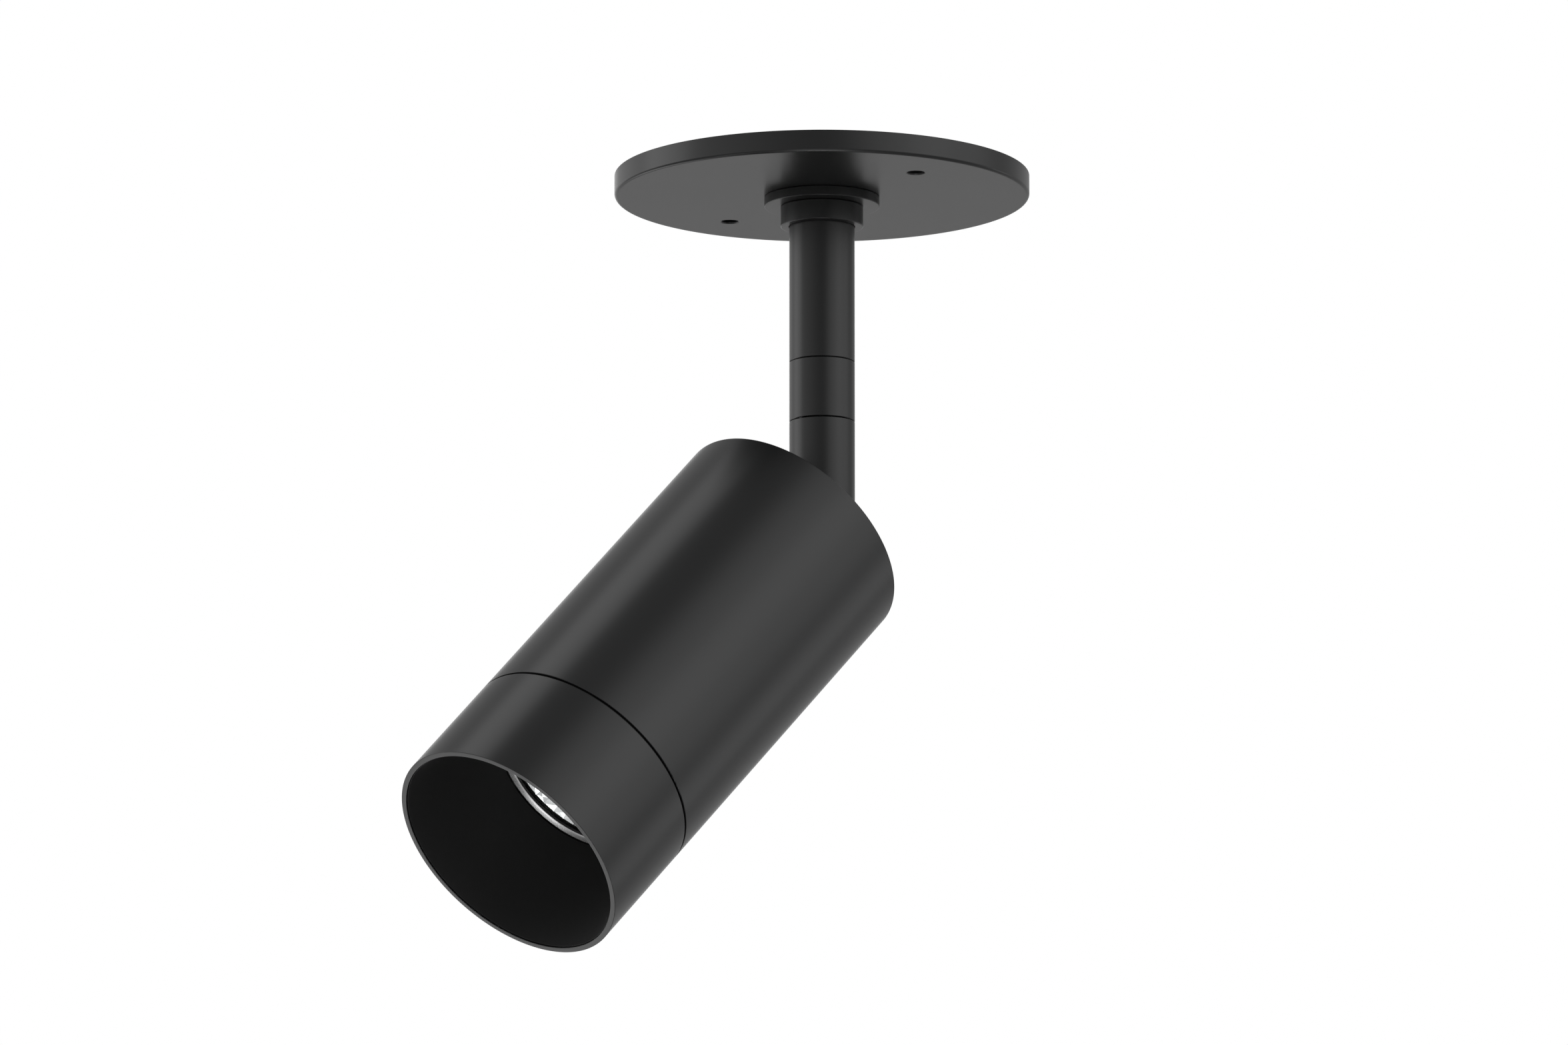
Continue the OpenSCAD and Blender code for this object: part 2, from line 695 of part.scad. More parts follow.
// Plate between the two sets of tie rods that carries the driver, notched for the leads
module driver_bracket() {
    plate_r = barrel_bore_r - 0.5;
    notch_d = 9;
    color(bare_metal) on_head() difference() {
        along_head([[0, bracket_back], [plate_r, bracket_back], [plate_r, bracket_front],
            [0, bracket_front]]);
        at_ties() translate([0, 0, -bracket_front - 1])
            cylinder(d = tie_thread_d + 2 * hole_clear, h = bracket_t + 2);
        for (a = tie_angles) rotate(a + 60) translate([tie_r + 2, 0, -bracket_front - 1])
            cylinder(d = notch_d, h = bracket_t + 2);
        at_driver_screws() translate([0, 0, -bracket_front - 1])
            cylinder(d = driver_screw_d + 2 * hole_clear, h = bracket_t + 2);
    }
}

driver_screw_depth = 5;

module at_driver_screws() {
    for (side = [-1, 1]) translate([side * driver_screw_r, 0, 0]) children();
}

module driver_case() {
    case_r = driver_d / 2;
    back = bracket_back - driver_h;
    edge = 1.5;
    color("gainsboro") on_head() difference() {
        along_head([[0, back], [case_r - edge, back], [case_r, back + edge],
            [case_r, bracket_back - 1], [case_r - 1, bracket_back], [0, bracket_back]]);
        at_driver_screws() translate([0, 0, -bracket_back - 1])
            cylinder(d = driver_screw_d + 2 * fit_clear, h = driver_screw_depth + 1);
    }
}

module driver_screws() {
    on_head() at_driver_screws() translate([0, 0, -bracket_front]) mirror([0, 0, 1])
        socket_screw(driver_screw_d, bracket_t + driver_screw_depth - 0.3);
}

module terminal_block() {
    poles = 3;
    pitch = 7;
    block_w = 10;
    front = bracket_back - driver_h;
    color("white") on_head() translate([0, 0, -front]) difference() {
        translate([-poles * pitch / 2, -block_w / 2, 0]) cube([poles * pitch, block_w, terminal_h]);
        for (i = [0:poles - 1]) translate([(i - (poles - 1) / 2) * pitch, 0, 0]) {
            translate([0, 2, terminal_h - 2.5]) cylinder(d = 4, h = 3);
            translate([-1.6, -block_w / 2 - 1, terminal_h - 4.5]) cube([3.2, 5, 3.2]);
        }
    }
}

// Extruded heat sink: a cored star of fins on a thick plate, with three bosses for the tie rods
module heat_sink() {
    sink_r = barrel_bore_r - 0.2;
    lead_bore_d = 5;
    color(bare_metal) on_head() difference() {
        union() {
            translate([0, 0, -sink_front]) cylinder(r = sink_r, h = sink_plate);
            translate([0, 0, -sink_plate_back - eps]) linear_extrude(fin_h + eps) sink_section(sink_r);
        }
        translate([0, 0, -sink_front - 1]) cylinder(d = lead_bore_d, h = sink_plate + fin_h + 2);
        at_ties() translate([0, 0, -sink_back - stud_grip - 0.5])
            cylinder(d = tie_thread_d + 2 * fit_clear, h = stud_grip + 1.5);
        for (side = [-1, 1]) translate([side * holder_screw_r, 0, -sink_front - 1])
            cylinder(d = holder_screw_d + 2 * fit_clear, h = front_screw_depth + 1);
        at_cell_screws() translate([0, 0, -sink_front - 1])
            cylinder(d = cell_screw_d + 2 * fit_clear, h = front_screw_depth + 1);
    }
}

front_screw_depth = 5;

module sink_section(sink_r) {
    circle(d = sink_core_d);
    for (i = [0:fin_count - 1]) rotate(i * 360 / fin_count)
        translate([sink_core_d / 2 - 1, -fin_t / 2]) square([sink_r - sink_core_d / 2 + 0.6, fin_t]);
    for (a = tie_angles) rotate(a) translate([tie_r, 0]) circle(d = tie_af + 3);
}

module square_plate(side, back, front) {
    translate([-side / 2, -side / 2, -front]) cube([side, side, front - back]);
}

board_back = sink_front + pad_t;
board_front = board_back + board_t;

module thermal_pad() {
    color("lightgray") on_head() square_plate(board_w, sink_front, board_back);
}

module led_board() {
    color("whitesmoke") on_head() square_plate(board_w, board_back, board_front);
}

module led_emitter() {
    color("gold") on_head() along_head([[0, board_front], [emitter_d / 2, board_front],
        [emitter_d / 2, board_front + 0.5], [0, board_front + 0.5]]);
}

// White frame that clamps the board, with a flared window for the light
module led_holder() {
    window_back = board_front + 0.1;
    window_r = emitter_d / 2 + 0.4;
    color("whitesmoke") on_head() difference() {
        along_head([[0, sink_front], [holder_d / 2, sink_front], [holder_d / 2, holder_front - 0.8],
            [holder_d / 2 - 0.8, holder_front], [0, holder_front]]);
        square_plate(board_w + 2 * hole_clear, sink_front - 1, window_back);
        along_head([[0, window_back - 1], [window_r, window_back - 1], [window_r, window_back],
            [reflector_throat_r, holder_front + eps], [0, holder_front + eps]]);
        for (side = [-1, 1]) translate([side * holder_screw_r, 0, 0]) {
            translate([0, 0, -holder_front - 1])
                cylinder(d = holder_screw_d + 2 * hole_clear, h = holder_h + 2);
            translate([0, 0, -holder_front - 1])
                cylinder(d = holder_screw_d * screw_head + 2 * hole_clear, h = 1 + holder_screw_sink);
        }
    }
}

holder_screw_sink = 2;

module led_holder_screws() {
    seat = holder_front - holder_screw_sink;
    on_head() for (side = [-1, 1]) translate([side * holder_screw_r, 0, -seat]) mirror([0, 0, 1])
        socket_screw(holder_screw_d, seat - sink_front + front_screw_depth - 0.3);
}

cell_bore_r = lens_r - 0.7;
cell_r = lens_r + fit_clear + cell_wall;

cell_foot_t = 2;
cell_screw_r = cell_r + cell_flange / 2;

module at_cell_screws() {
    for (a = tie_angles) rotate(a + 60) translate([cell_screw_r, 0, 0]) children();
}

// Black tube that is screwed to the heat sink and carries the lens in its mouth
module lens_cell() {
    foot_front = sink_front + cell_foot_t;
    foot_r = cell_r + cell_flange;
    rest_r = lens_r + fit_clear;
    base_r = holder_d / 2 + 0.3;
    color(matt_black) on_head() difference() {
        along_head([[base_r, sink_front], [foot_r, sink_front], [foot_r, foot_front],
            [cell_r, foot_front], [cell_r, lens_front], [rest_r, lens_front],
            [rest_r, lens_back - fit_clear], [cell_bore_r, lens_back - fit_clear],
            [cell_bore_r, foot_front + 1], [base_r, foot_front + 1]]);
        at_cell_screws() translate([0, 0, -foot_front - 1])
            cylinder(d = cell_screw_d + 2 * hole_clear, h = cell_foot_t + 2);
    }
}

module lens_cell_screws() {
    on_head() at_cell_screws() translate([0, 0, -sink_front - cell_foot_t]) mirror([0, 0, 1])
        socket_screw(cell_screw_d, cell_foot_t + front_screw_depth - 0.3);
}

reflector_mouth_r = gasket_window_r;

// Radius of the reflector's bowl at a share of its depth
function bowl_r(share) = reflector_throat_r + (reflector_mouth_r - reflector_throat_r) * pow(share, 0.62);
function bowl_at(share) = reflector_back + (reflector_front - reflector_back) * share;
function bowl_row(share, grow, phase) = [for (j = [0:facet_columns - 1])
    let (a = (j + phase) * 360 / facet_columns, r = bowl_r(share) + grow)
    [r * cos(a), r * sin(a), -bowl_at(share)]];

// Reflector with staggered diamond facets: the inner rows run to the mouth, the outer rows back again
module reflector() {
    rows = facet_rows;
    inner = [for (i = [0:rows]) each bowl_row(i / rows, 0, (i % 2) / 2)];
    outer = [for (i = [rows:-1:0]) each bowl_row(i / rows, reflector_wall, (i % 2) / 2)];
    last = 2 * rows + 1;
    // Which way a band between two rings leans, so that its triangles follow the stagger
    function ring(k) = k <= rows ? k : 2 * rows + 1 - k;
    faces = [for (k = [0:last], j = [0:facet_columns - 1])
        let (n = facet_columns, next = (k + 1) % (last + 1), j1 = (j + 1) % n,
            a = k * n + j, b = k * n + j1, c = next * n + j, d = next * n + j1,
            lean = ring(k) % 2 - ring(next) % 2)
        each lean < 0 ? [[a, b, c], [b, d, c]] : [[a, b, d], [a, d, c]]];
    color("silver") on_head() polyhedron(points = concat(inner, outer), faces = faces);
}

module lens() {
    color("lightcyan", 0.4) on_head() along_head([[0, lens_back], [lens_r - 0.3, lens_back],
        [lens_r, lens_back + 0.3], [lens_r, lens_front - 0.3], [lens_r - 0.3, lens_front], [0, lens_front]]);
}

module lens_gasket() {
    color(matt_black) on_head() along_head([[gasket_window_r, lens_front + fit_clear],
        [lens_r, lens_front + fit_clear], [lens_r, gasket_front], [gasket_window_r, gasket_front]]);
}

// Bright screw-on cap whose lip frames the lens
module lens_bezel() {
    skirt = 5.5;
    inner_r = cell_r + fit_clear;
    outer_r = inner_r + 0.9;
    lip_back = bezel_front - bezel_lip;
    color("gainsboro") on_head() along_head([[bezel_window_r, lip_back], [inner_r, lip_back],
        [inner_r, lip_back - skirt], [outer_r, lip_back - skirt], [outer_r, bezel_front - 0.3],
        [outer_r - 0.3, bezel_front], [bezel_window_r + 0.3, bezel_front],
        [bezel_window_r, bezel_front - 0.3]]);
}

spigot_out_r = snoot_bore_r - fit_clear * 2;
o_ring_at = snoot_back + ring_spigot / 2;
o_ring_centre_r = snoot_bore_r - fit_clear - o_ring_t / 2;

// Sleeve screwed into the barrel's mouth: it clamps the heat sink, and its flange floors the shadow gap
module front_ring() {
    seat_r = barrel_bore_r - fit_clear;
    inner_r = min(seat_r, spigot_out_r) - ring_wall;
    groove_r = o_ring_centre_r - o_ring_t / 2 - fit_clear;
    groove_half = o_ring_t / 2 + 0.1;
    color(matt_black) on_head() along_head([[inner_r, sink_front], [seat_r, sink_front],
        [seat_r, barrel_front],
        [head_r - snoot_gap_depth, barrel_front], [head_r - snoot_gap_depth, snoot_back],
        [spigot_out_r, snoot_back], [spigot_out_r, o_ring_at - groove_half],
        [groove_r, o_ring_at - groove_half], [groove_r, o_ring_at + groove_half],
        [spigot_out_r, o_ring_at + groove_half], [spigot_out_r, snoot_back + ring_spigot - 0.6],
        [spigot_out_r - 0.6, snoot_back + ring_spigot], [inner_r, snoot_back + ring_spigot]]);
}

module o_ring() {
    color("dimgray") on_head() mirror([0, 0, 1]) rotate_extrude()
        translate([o_ring_centre_r, o_ring_at]) circle(d = o_ring_t, $fn = 32);
}

module snoot_shell() {
    color(black_paint) on_head() along_head([
        [snoot_bore_r, snoot_back], [head_r - head_bevel / 2, snoot_back],
        [head_r, snoot_back + head_bevel / 2], [head_r, snoot_front - head_bevel / 2],
        [head_r - head_bevel / 2, snoot_front], [snoot_bore_r, snoot_front]]);
}

baffle_front = snoot_front - 0.5;
baffle_land_r = snoot_bore_r - fit_clear;
baffle_mouth_r = baffle_land_r - 0.2;

// Radius of the baffle's inner face at a share of the way from throat to mouth
function baffle_r(share) = baffle_throat_r + (baffle_mouth_r - baffle_throat_r) * share
    + baffle_bow * sin(180 * share);

// Bowed black cone that hides the glare, pressed into the front of the snoot
module baffle_cone() {
    steps = 12;
    land = 5;
    depth = baffle_front - baffle_back;
    inner = [for (i = [0:steps]) [baffle_r(i / steps), baffle_back + depth * i / steps]];
    color(matt_black) on_head() along_head(concat(inner, [[baffle_land_r, baffle_front],
        [baffle_land_r, baffle_front - land], [baffle_throat_r + baffle_wall, baffle_back]]));
}

canopy_plate();
boss_flange();
stem_collar();
collar_set_screw();
hollow_nipple();
nipple_nut();
lock_washer();
earth_screw();
stem_tube();
swivel_housing();
swivel_spindle();
spindle_nut();
flat_washer();
spring_washer();
thrust_washer();
stop_pin();
knuckle_fork();
pivot_bolt();
friction_washers();
tilt_lock_screw();
hinge_tongue();
foot_screws();
rear_cap();
rear_cap_screws();
barrel();
rear_tie_rods();
driver_bracket();
driver_case();
driver_screws();
terminal_block();
front_tie_rods();
heat_sink();
thermal_pad();
led_board();
led_emitter();
led_holder();
led_holder_screws();
lens_cell();
lens_cell_screws();
reflector();
lens();
lens_gasket();
lens_bezel();
front_ring();
o_ring();
snoot_shell();
baffle_cone();
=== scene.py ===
# %% [markdown]
# # A directional spotlight
#
# This lesson dresses a small ceiling spotlight: a round canopy, a short stem that swivels, a fork
# joint that tilts, and a cylinder head with a deep snoot. The sizes come from a fixed frame, which
# holds the real light's parts, and every new piece is modelled where its part stands.

import json
from math import cos, pi, radians, sin, sqrt

import bpy
from mathutils import Euler, Matrix, Vector


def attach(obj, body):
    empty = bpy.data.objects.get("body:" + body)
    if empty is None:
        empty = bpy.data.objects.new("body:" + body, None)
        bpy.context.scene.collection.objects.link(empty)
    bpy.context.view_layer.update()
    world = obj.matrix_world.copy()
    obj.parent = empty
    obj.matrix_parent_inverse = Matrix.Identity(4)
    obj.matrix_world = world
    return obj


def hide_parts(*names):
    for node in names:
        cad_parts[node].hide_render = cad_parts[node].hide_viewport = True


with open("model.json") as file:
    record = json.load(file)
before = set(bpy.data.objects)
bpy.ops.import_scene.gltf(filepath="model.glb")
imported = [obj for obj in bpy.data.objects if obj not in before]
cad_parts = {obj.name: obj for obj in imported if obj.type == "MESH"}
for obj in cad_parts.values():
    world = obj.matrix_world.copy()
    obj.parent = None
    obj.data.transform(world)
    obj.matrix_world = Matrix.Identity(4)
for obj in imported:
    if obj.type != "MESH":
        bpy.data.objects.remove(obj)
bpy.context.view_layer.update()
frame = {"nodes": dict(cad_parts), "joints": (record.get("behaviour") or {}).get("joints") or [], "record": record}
bpy.ops.object.select_all(action="DESELECT")
print("parts in the frame:", len(frame["nodes"]))

# %% [markdown]
# ## The camera
#
# The light is photographed from a little below and to one side, with a long lens, so its edges
# stay nearly parallel. The camera could be turned by hand until it looks right. Here it is set by
# numbers instead: a point that it looks at, a direction and a distance, which can be checked.

# %% Point a long lens at the light
AIM = Vector((-0.00739, -0.00894, -0.10803))
CAMERA_AZIMUTH = radians(50.42)
CAMERA_ELEVATION = radians(-10.914)
CAMERA_DISTANCE = 3.2559
FOCAL_LENGTH = 245.7

camera_turn = Euler((pi / 2 - CAMERA_ELEVATION, 0, CAMERA_AZIMUTH))
towards_camera = Vector((0, 0, 1))
towards_camera.rotate(camera_turn)
bpy.ops.object.camera_add(location=AIM + towards_camera * CAMERA_DISTANCE, rotation=camera_turn)
camera = bpy.context.object
camera.name = "camera"
camera.data.lens = FOCAL_LENGTH
bpy.context.scene.camera = camera
bpy.context.scene.view_settings.view_transform = "Standard"
print("camera at", [round(c, 3) for c in camera.location])

# %% [markdown]
# ## Measuring the frame
#
# A lathe part is described by how far it goes along its axis and how wide it is round it. The stem
# hangs on the world's Z axis. The head is tilted, so its own axis starts at the tilt joint and runs
# forwards out of the snoot. Reading these numbers off the frame keeps each new piece on its part.

# %% Two axes, and a ruler for each
MM = 0.001
HEAD_TILT = radians(45)
tilt_joint = next(j for j in frame["joints"] if j["name"] == "head_tilt")
TILT_AXIS = Vector(tilt_joint["pos_m"])
STEM = Matrix.Identity(4)
HEAD = Matrix.Translation(TILT_AXIS) @ Matrix.Rotation(pi - HEAD_TILT, 4, "X")


def reach(node, axis=STEM):
    """Start and end of a frame part along an axis, and its inner and outer radius, in mm."""
    local = [axis.inverted() @ v.co / MM for v in frame["nodes"][node].data.vertices]
    along = [p.z for p in local]
    wide = [sqrt(p.x**2 + p.y**2) for p in local]
    return [round(v, 2) for v in (min(along), max(along), min(wide), max(wide))]


for node, axis in (("stem_tube", STEM), ("barrel", HEAD), ("snoot_shell", HEAD)):
    print(node, "start, end, inner and outer radius:", reach(node, axis))

# %% [markdown]
# ## Tools of the workshop
#
# Most of the light is turned on a lathe, so its pieces are drawn as an outline and spun. A plane
# merged to one point is the pencil: it is extruded from corner to corner. Holes and slots are cut
# afterwards with booleans, as a drill and a cutter would, and a bevel modifier breaks the edges.

# %% Draw, spin, extrude, cut and finish
SMOOTH_STEPS = 192
SAME_POINT = 0.000002
HEX = cos(radians(30))  # half the width across a hexagon's flats, over its corner radius


def rename(name):
    """Leaves edit mode and names the active object."""
    if bpy.context.mode != "OBJECT":
        bpy.ops.object.mode_set(mode="OBJECT")
    piece = bpy.context.object
    piece.name = piece.data.name = name
    return piece


def deselect():
    """Deselects everything, because an operator acts on all that is selected."""
    bpy.ops.object.select_all(action="DESELECT")


def only(piece):
    """Selects one object alone and makes it the active one."""
    deselect()
    piece.select_set(True)
    bpy.context.view_layer.objects.active = piece
    return piece


def draw(points):
    """Draws an outline of [x, z] points in mm in the plane y = 0, and stays in edit mode."""
    deselect()
    x, z = points[0]
    bpy.ops.mesh.primitive_plane_add(size=MM, location=(x * MM, 0, z * MM))
    bpy.ops.object.mode_set(mode="EDIT")
    bpy.ops.mesh.merge(type="CENTER")
    for (x0, z0), (x1, z1) in zip(points, points[1:]):
        step = ((x1 - x0) * MM, 0, (z1 - z0) * MM)
        bpy.ops.mesh.extrude_vertices_move(TRANSFORM_OT_translate={"value": step})
    bpy.ops.mesh.select_all(action="SELECT")


def face_out():
    """Turns all faces of the piece in edit mode outwards."""
    bpy.ops.mesh.select_all(action="SELECT")
    bpy.ops.mesh.normals_make_consistent(inside=False)


def turned(name, outline, steps=SMOOTH_STEPS, angle=2 * pi):
    """Spins an outline of [radius, height] round the Z axis. One from axis to axis stays open."""
    closed = outline[0][0] > 0
    draw(outline + outline[:1] if closed else outline)
    bpy.ops.mesh.remove_doubles(threshold=SAME_POINT)
    bpy.ops.mesh.spin(steps=steps, angle=angle, center=(0, 0, 0), axis=(0, 0, 1))
    bpy.ops.mesh.select_all(action="SELECT")
    bpy.ops.mesh.remove_doubles(threshold=SAME_POINT)
    face_out()
    return apply_place(rename(name))


def capped(piece):
    """Closes the open ends of a piece that was wound or partly spun."""
    only(piece)
    bpy.ops.object.mode_set(mode="EDIT")
    bpy.ops.mesh.select_all(action="SELECT")
    bpy.ops.mesh.region_to_loop()
    bpy.ops.mesh.fill_holes(sides=0)
    face_out()
    return rename(piece.name)


def ring_outline(inner, outer, start, end):
    """The outline of a plain ring or tube."""
    return [(inner, start), (outer, start), (outer, end), (inner, end)]


def extruded(name, outline, length):
    """Pulls an outline of [x, z] points out along Y, with its middle at y = 0."""
    draw(outline)
    bpy.ops.mesh.edge_face_add()
    bpy.ops.transform.translate(value=(0, -length / 2 * MM, 0))
    bpy.ops.mesh.extrude_region_move(TRANSFORM_OT_translate={"value": (0, length * MM, 0)})
    face_out()
    return apply_place(rename(name))


def apply_place(piece):
    """Moves a piece's place, turn and size into its mesh, so its object is at the origin."""
    only(piece)
    bpy.ops.object.transform_apply(location=True, rotation=True, scale=True)
    return piece


def rod(name, radius, start, end, sides=64):
    """A round or many-sided bar between two points in mm. A number is a height on the Z axis."""
    deselect()
    start, end = [Vector((0, 0, p)) * MM if isinstance(p, (int, float)) else Vector(p) * MM
                  for p in (start, end)]
    turn = (end - start).to_track_quat("Z", "Y").to_euler()
    bpy.ops.mesh.primitive_cylinder_add(vertices=sides, radius=radius * MM, rotation=turn,
                                        location=(start + end) / 2, depth=(end - start).length)
    return apply_place(rename(name))


def block(name, low, high):
    """A plain block between two corners in mm, used to cut with."""
    deselect()
    low, high = Vector(low) * MM, Vector(high) * MM
    bpy.ops.mesh.primitive_cube_add(size=1, location=(low + high) / 2, scale=high - low)
    return apply_place(rename(name))


def cut(piece, *tools, how="DIFFERENCE"):
    """Cuts, joins or trims a piece with others, which are used up."""
    for tool in tools:
        only(piece)
        boolean = piece.modifiers.new("cut", "BOOLEAN")
        boolean.object, boolean.operation, boolean.solver = tool, how, "EXACT"
        bpy.ops.object.modifier_apply(modifier="cut")
        bpy.data.objects.remove(tool)
    return piece


def bevelled(piece, width, segments=3, angle=30):
    """Breaks the sharp edges by a width in mm. The small facets round a drilled hole hold a bevel
    back, so a piece with holes is bevelled before it is drilled."""
    only(piece)
    bevel = piece.modifiers.new("edges", "BEVEL")
    bevel.width, bevel.segments, bevel.angle_limit = width * MM, segments, radians(angle)
    bevel.limit_method = "ANGLE"
    bpy.ops.object.modifier_apply(modifier="edges")
    return piece


def soften(piece, width=0, segments=3, angle=30):
    """Bevels a piece, unless the width is 0, and smooths the rest."""
    if width:
        bevelled(piece, width, segments, angle)
    only(piece)
    bpy.ops.object.shade_smooth_by_angle(angle=radians(angle))
    weigh = piece.modifiers.new("even_shading", "WEIGHTED_NORMAL")
    weigh.mode, weigh.weight, weigh.keep_sharp = "FACE_AREA", 100, True
    bpy.ops.object.modifier_apply(modifier="even_shading")
    return piece


def pick(piece, wanted):
    """Opens a piece in edit mode with only the faces selected that pass a test."""
    only(piece)
    bpy.ops.object.mode_set(mode="EDIT")
    bpy.ops.mesh.select_all(action="DESELECT")
    bpy.ops.object.mode_set(mode="OBJECT")
    for face in piece.data.polygons:
        face.select = wanted(face)
    bpy.ops.object.mode_set(mode="EDIT")


def on(piece, axis):
    """Moves a finished piece from the workbench to its axis."""
    piece.matrix_world = axis
    return apply_place(piece)


def place_at(x, y, z, turn=0.0, axis="X"):
    """A place in mm, with a turn in degrees about one axis."""
    return Matrix.Translation((x * MM, y * MM, z * MM)) @ Matrix.Rotation(radians(turn), 4, axis)


def joined(name, *pieces):
    """Makes several meshes one piece."""
    deselect()
    for piece in pieces:
        piece.select_set(True)
    bpy.context.view_layer.objects.active = pieces[0]
    if len(pieces) > 1:
        bpy.ops.object.join()
    return rename(name)


# %% [markdown]
# ## Materials
#
# Hardly anything on this light is one flat colour. The black coat has a fine tooth, the turned
# faces carry faint rings, and plated steel is a little cloudy. Each of these effects is a small
# node group with its own inputs, built once and shared. It only puts out values and heights, and
# every material decides what to do with them in its own shader.

# %% Helpers for node groups and materials


def feed(tree, socket, value):
    """Gives a socket a plain value, or links it to another node's output."""
    if isinstance(value, bpy.types.NodeSocket):
        tree.links.new(value, socket)
    else:
        socket.default_value = value


def add(tree, kind, inputs=(), out=0, **settings):
    """Adds a shader node with its settings, feeds its inputs, and returns one of its outputs."""
    node = tree.nodes.new("ShaderNode" + kind)
    for key, value in settings.items():
        setattr(node, key, value)
    for title, value in dict(inputs).items():
        feed(tree, node.inputs[title], value)
    return node.outputs[out]


def noise(tree, vector, scale, detail, roughness=0.5, **settings):
    """The noise texture that every effect starts from."""
    inputs = {"Vector": vector, "Scale": scale, "Detail": detail, "Roughness": roughness}
    return add(tree, "TexNoise", inputs, "Fac", **settings)


def group_tree(name, inputs):
    """A shader node group with a Vector input, number inputs, and the outputs Value and Height."""
    tree = bpy.data.node_groups.new(name, "ShaderNodeTree")
    tree.interface.new_socket("Vector", in_out="INPUT", socket_type="NodeSocketVector")
    for title, value in inputs.items():
        socket = tree.interface.new_socket(title, in_out="INPUT", socket_type="NodeSocketFloat")
        socket.default_value = value
    for title in ("Value", "Height"):
        tree.interface.new_socket(title, in_out="OUTPUT", socket_type="NodeSocketFloat")
    return tree, tree.nodes.new("NodeGroupInput").outputs, tree.nodes.new("NodeGroupOutput").inputs


# %% Three shared effects: turned rings, a fine tooth, and soft clouds


def make_turned_rings():
    """Faint rings round the Z axis of the vector that goes in, as a lathe tool leaves them."""
    tree, given, result = group_tree("turned_rings", {"Rings per metre": 2500.0, "Unevenness": 0.4})
    vector = given["Vector"]
    flat = add(tree, "VectorMath", {0: vector, 1: (1, 1, 0)}, operation="MULTIPLY")
    radius = add(tree, "VectorMath", {0: flat}, "Value", operation="LENGTH")
    height = add(tree, "SeparateXYZ", {0: vector}, "Z")
    spot = add(tree, "CombineXYZ", {"X": radius, "Y": height})
    rings = noise(tree, spot, given["Rings per metre"], 3.0, 0.6, noise_dimensions="2D")
    drift = noise(tree, vector, 60.0, 2.0)
    weight = add(tree, "Math", {0: drift, 1: given["Unevenness"]}, operation="MULTIPLY")
    uneven = add(tree, "Mix", {"Factor": weight, "A": rings, "B": drift}, "Result")
    feed(tree, result["Value"], uneven)
    feed(tree, result["Height"], rings)
    return tree


def make_fine_tooth():
    """The small, even grain of a sprayed or moulded surface."""
    tree, given, result = group_tree("fine_tooth", {"Grains per metre": 3000.0, "Contrast": 0.5})
    grain = noise(tree, given["Vector"], given["Grains per metre"], 4.0, 0.55)
    lifted = {0: grain, 1: given["Contrast"], 2: 0.25}
    feed(tree, result["Value"], add(tree, "Math", lifted, operation="MULTIPLY_ADD"))
    feed(tree, result["Height"], grain)
    return tree


def make_soft_clouds():
    """Slow changes over centimetres, as handling, polish or plating leave them."""
    tree, given, result = group_tree("soft_clouds", {"Clouds per metre": 25.0, "Contrast": 1.0})
    clouds = noise(tree, given["Vector"], given["Clouds per metre"], 5.0)
    around = add(tree, "Math", {0: clouds, 1: 0.5}, operation="SUBTRACT")
    spread = {0: around, 1: given["Contrast"], 2: 0.5}
    value = add(tree, "Math", spread, operation="MULTIPLY_ADD", use_clamp=True)
    feed(tree, result["Value"], value)
    feed(tree, result["Height"], clouds)
    return tree


RINGS, TOOTH, CLOUDS = make_turned_rings(), make_fine_tooth(), make_soft_clouds()
print("shared effects:", ", ".join(tree.name for tree in (RINGS, TOOTH, CLOUDS)))

# %% Build a material from its two shades, its gloss and its effects


def tooth(grains, contrast=0.5, share=1):
    """A fine tooth with so many grains per metre."""
    return TOOTH, {"Grains per metre": grains, "Contrast": contrast}, share


def rings(count, unevenness=0.4, share=1):
    """Turned rings with so many rings per metre."""
    return RINGS, {"Rings per metre": count, "Unevenness": unevenness}, share


def clouds(count, contrast=1.0, share=1):
    """Soft clouds with so many clouds per metre."""
    return CLOUDS, {"Clouds per metre": count, "Contrast": contrast}, share


RAMP_ENDS = 0.3, 0.7


def finish_of(name, shades, roughness, effects, bump=0.0, axis=STEM, **shader):
    """A Principled material. The first effect also gives the bump, and the others are mixed in by
    their share. Further names, such as Metallic, set the shader's own sockets."""
    material = bpy.data.materials.new(name)
    material.use_nodes = True
    tree = material.node_tree
    principled = tree.nodes["Principled BSDF"].inputs
    for title, value in shader.items():
        feed(tree, principled[title.replace("_", " ")], value)
    back = axis.inverted()
    place = {"Vector": add(tree, "TexCoord", out="Object"), "Location": back.translation,
             "Rotation": back.to_euler()}
    centred = add(tree, "Mapping", place, vector_type="POINT")
    blend = height = None
    for effect, inputs, share in effects:
        value = add(tree, "Group", {"Vector": centred, **inputs}, "Value", node_tree=effect)
        if blend is None:
            blend, height = value, value.node.outputs["Height"]
        else:
            blend = add(tree, "Mix", {"Factor": share, "A": blend, "B": value}, "Result")
    colour = add(tree, "ValToRGB", {"Fac": blend})
    for element, end, shade in zip(colour.node.color_ramp.elements, RAMP_ENDS, shades):
        element.position, element.color = end, (*shade, 1)
    feed(tree, principled["Base Color"], colour)
    gloss = {"Value": blend, "To Min": roughness[0], "To Max": roughness[1]}
    feed(tree, principled["Roughness"], add(tree, "MapRange", gloss, "Result"))
    if bump:
        relief = {"Height": height, "Strength": 1.0, "Distance": bump * MM}
        feed(tree, principled["Normal"], add(tree, "Bump", relief))
    return material


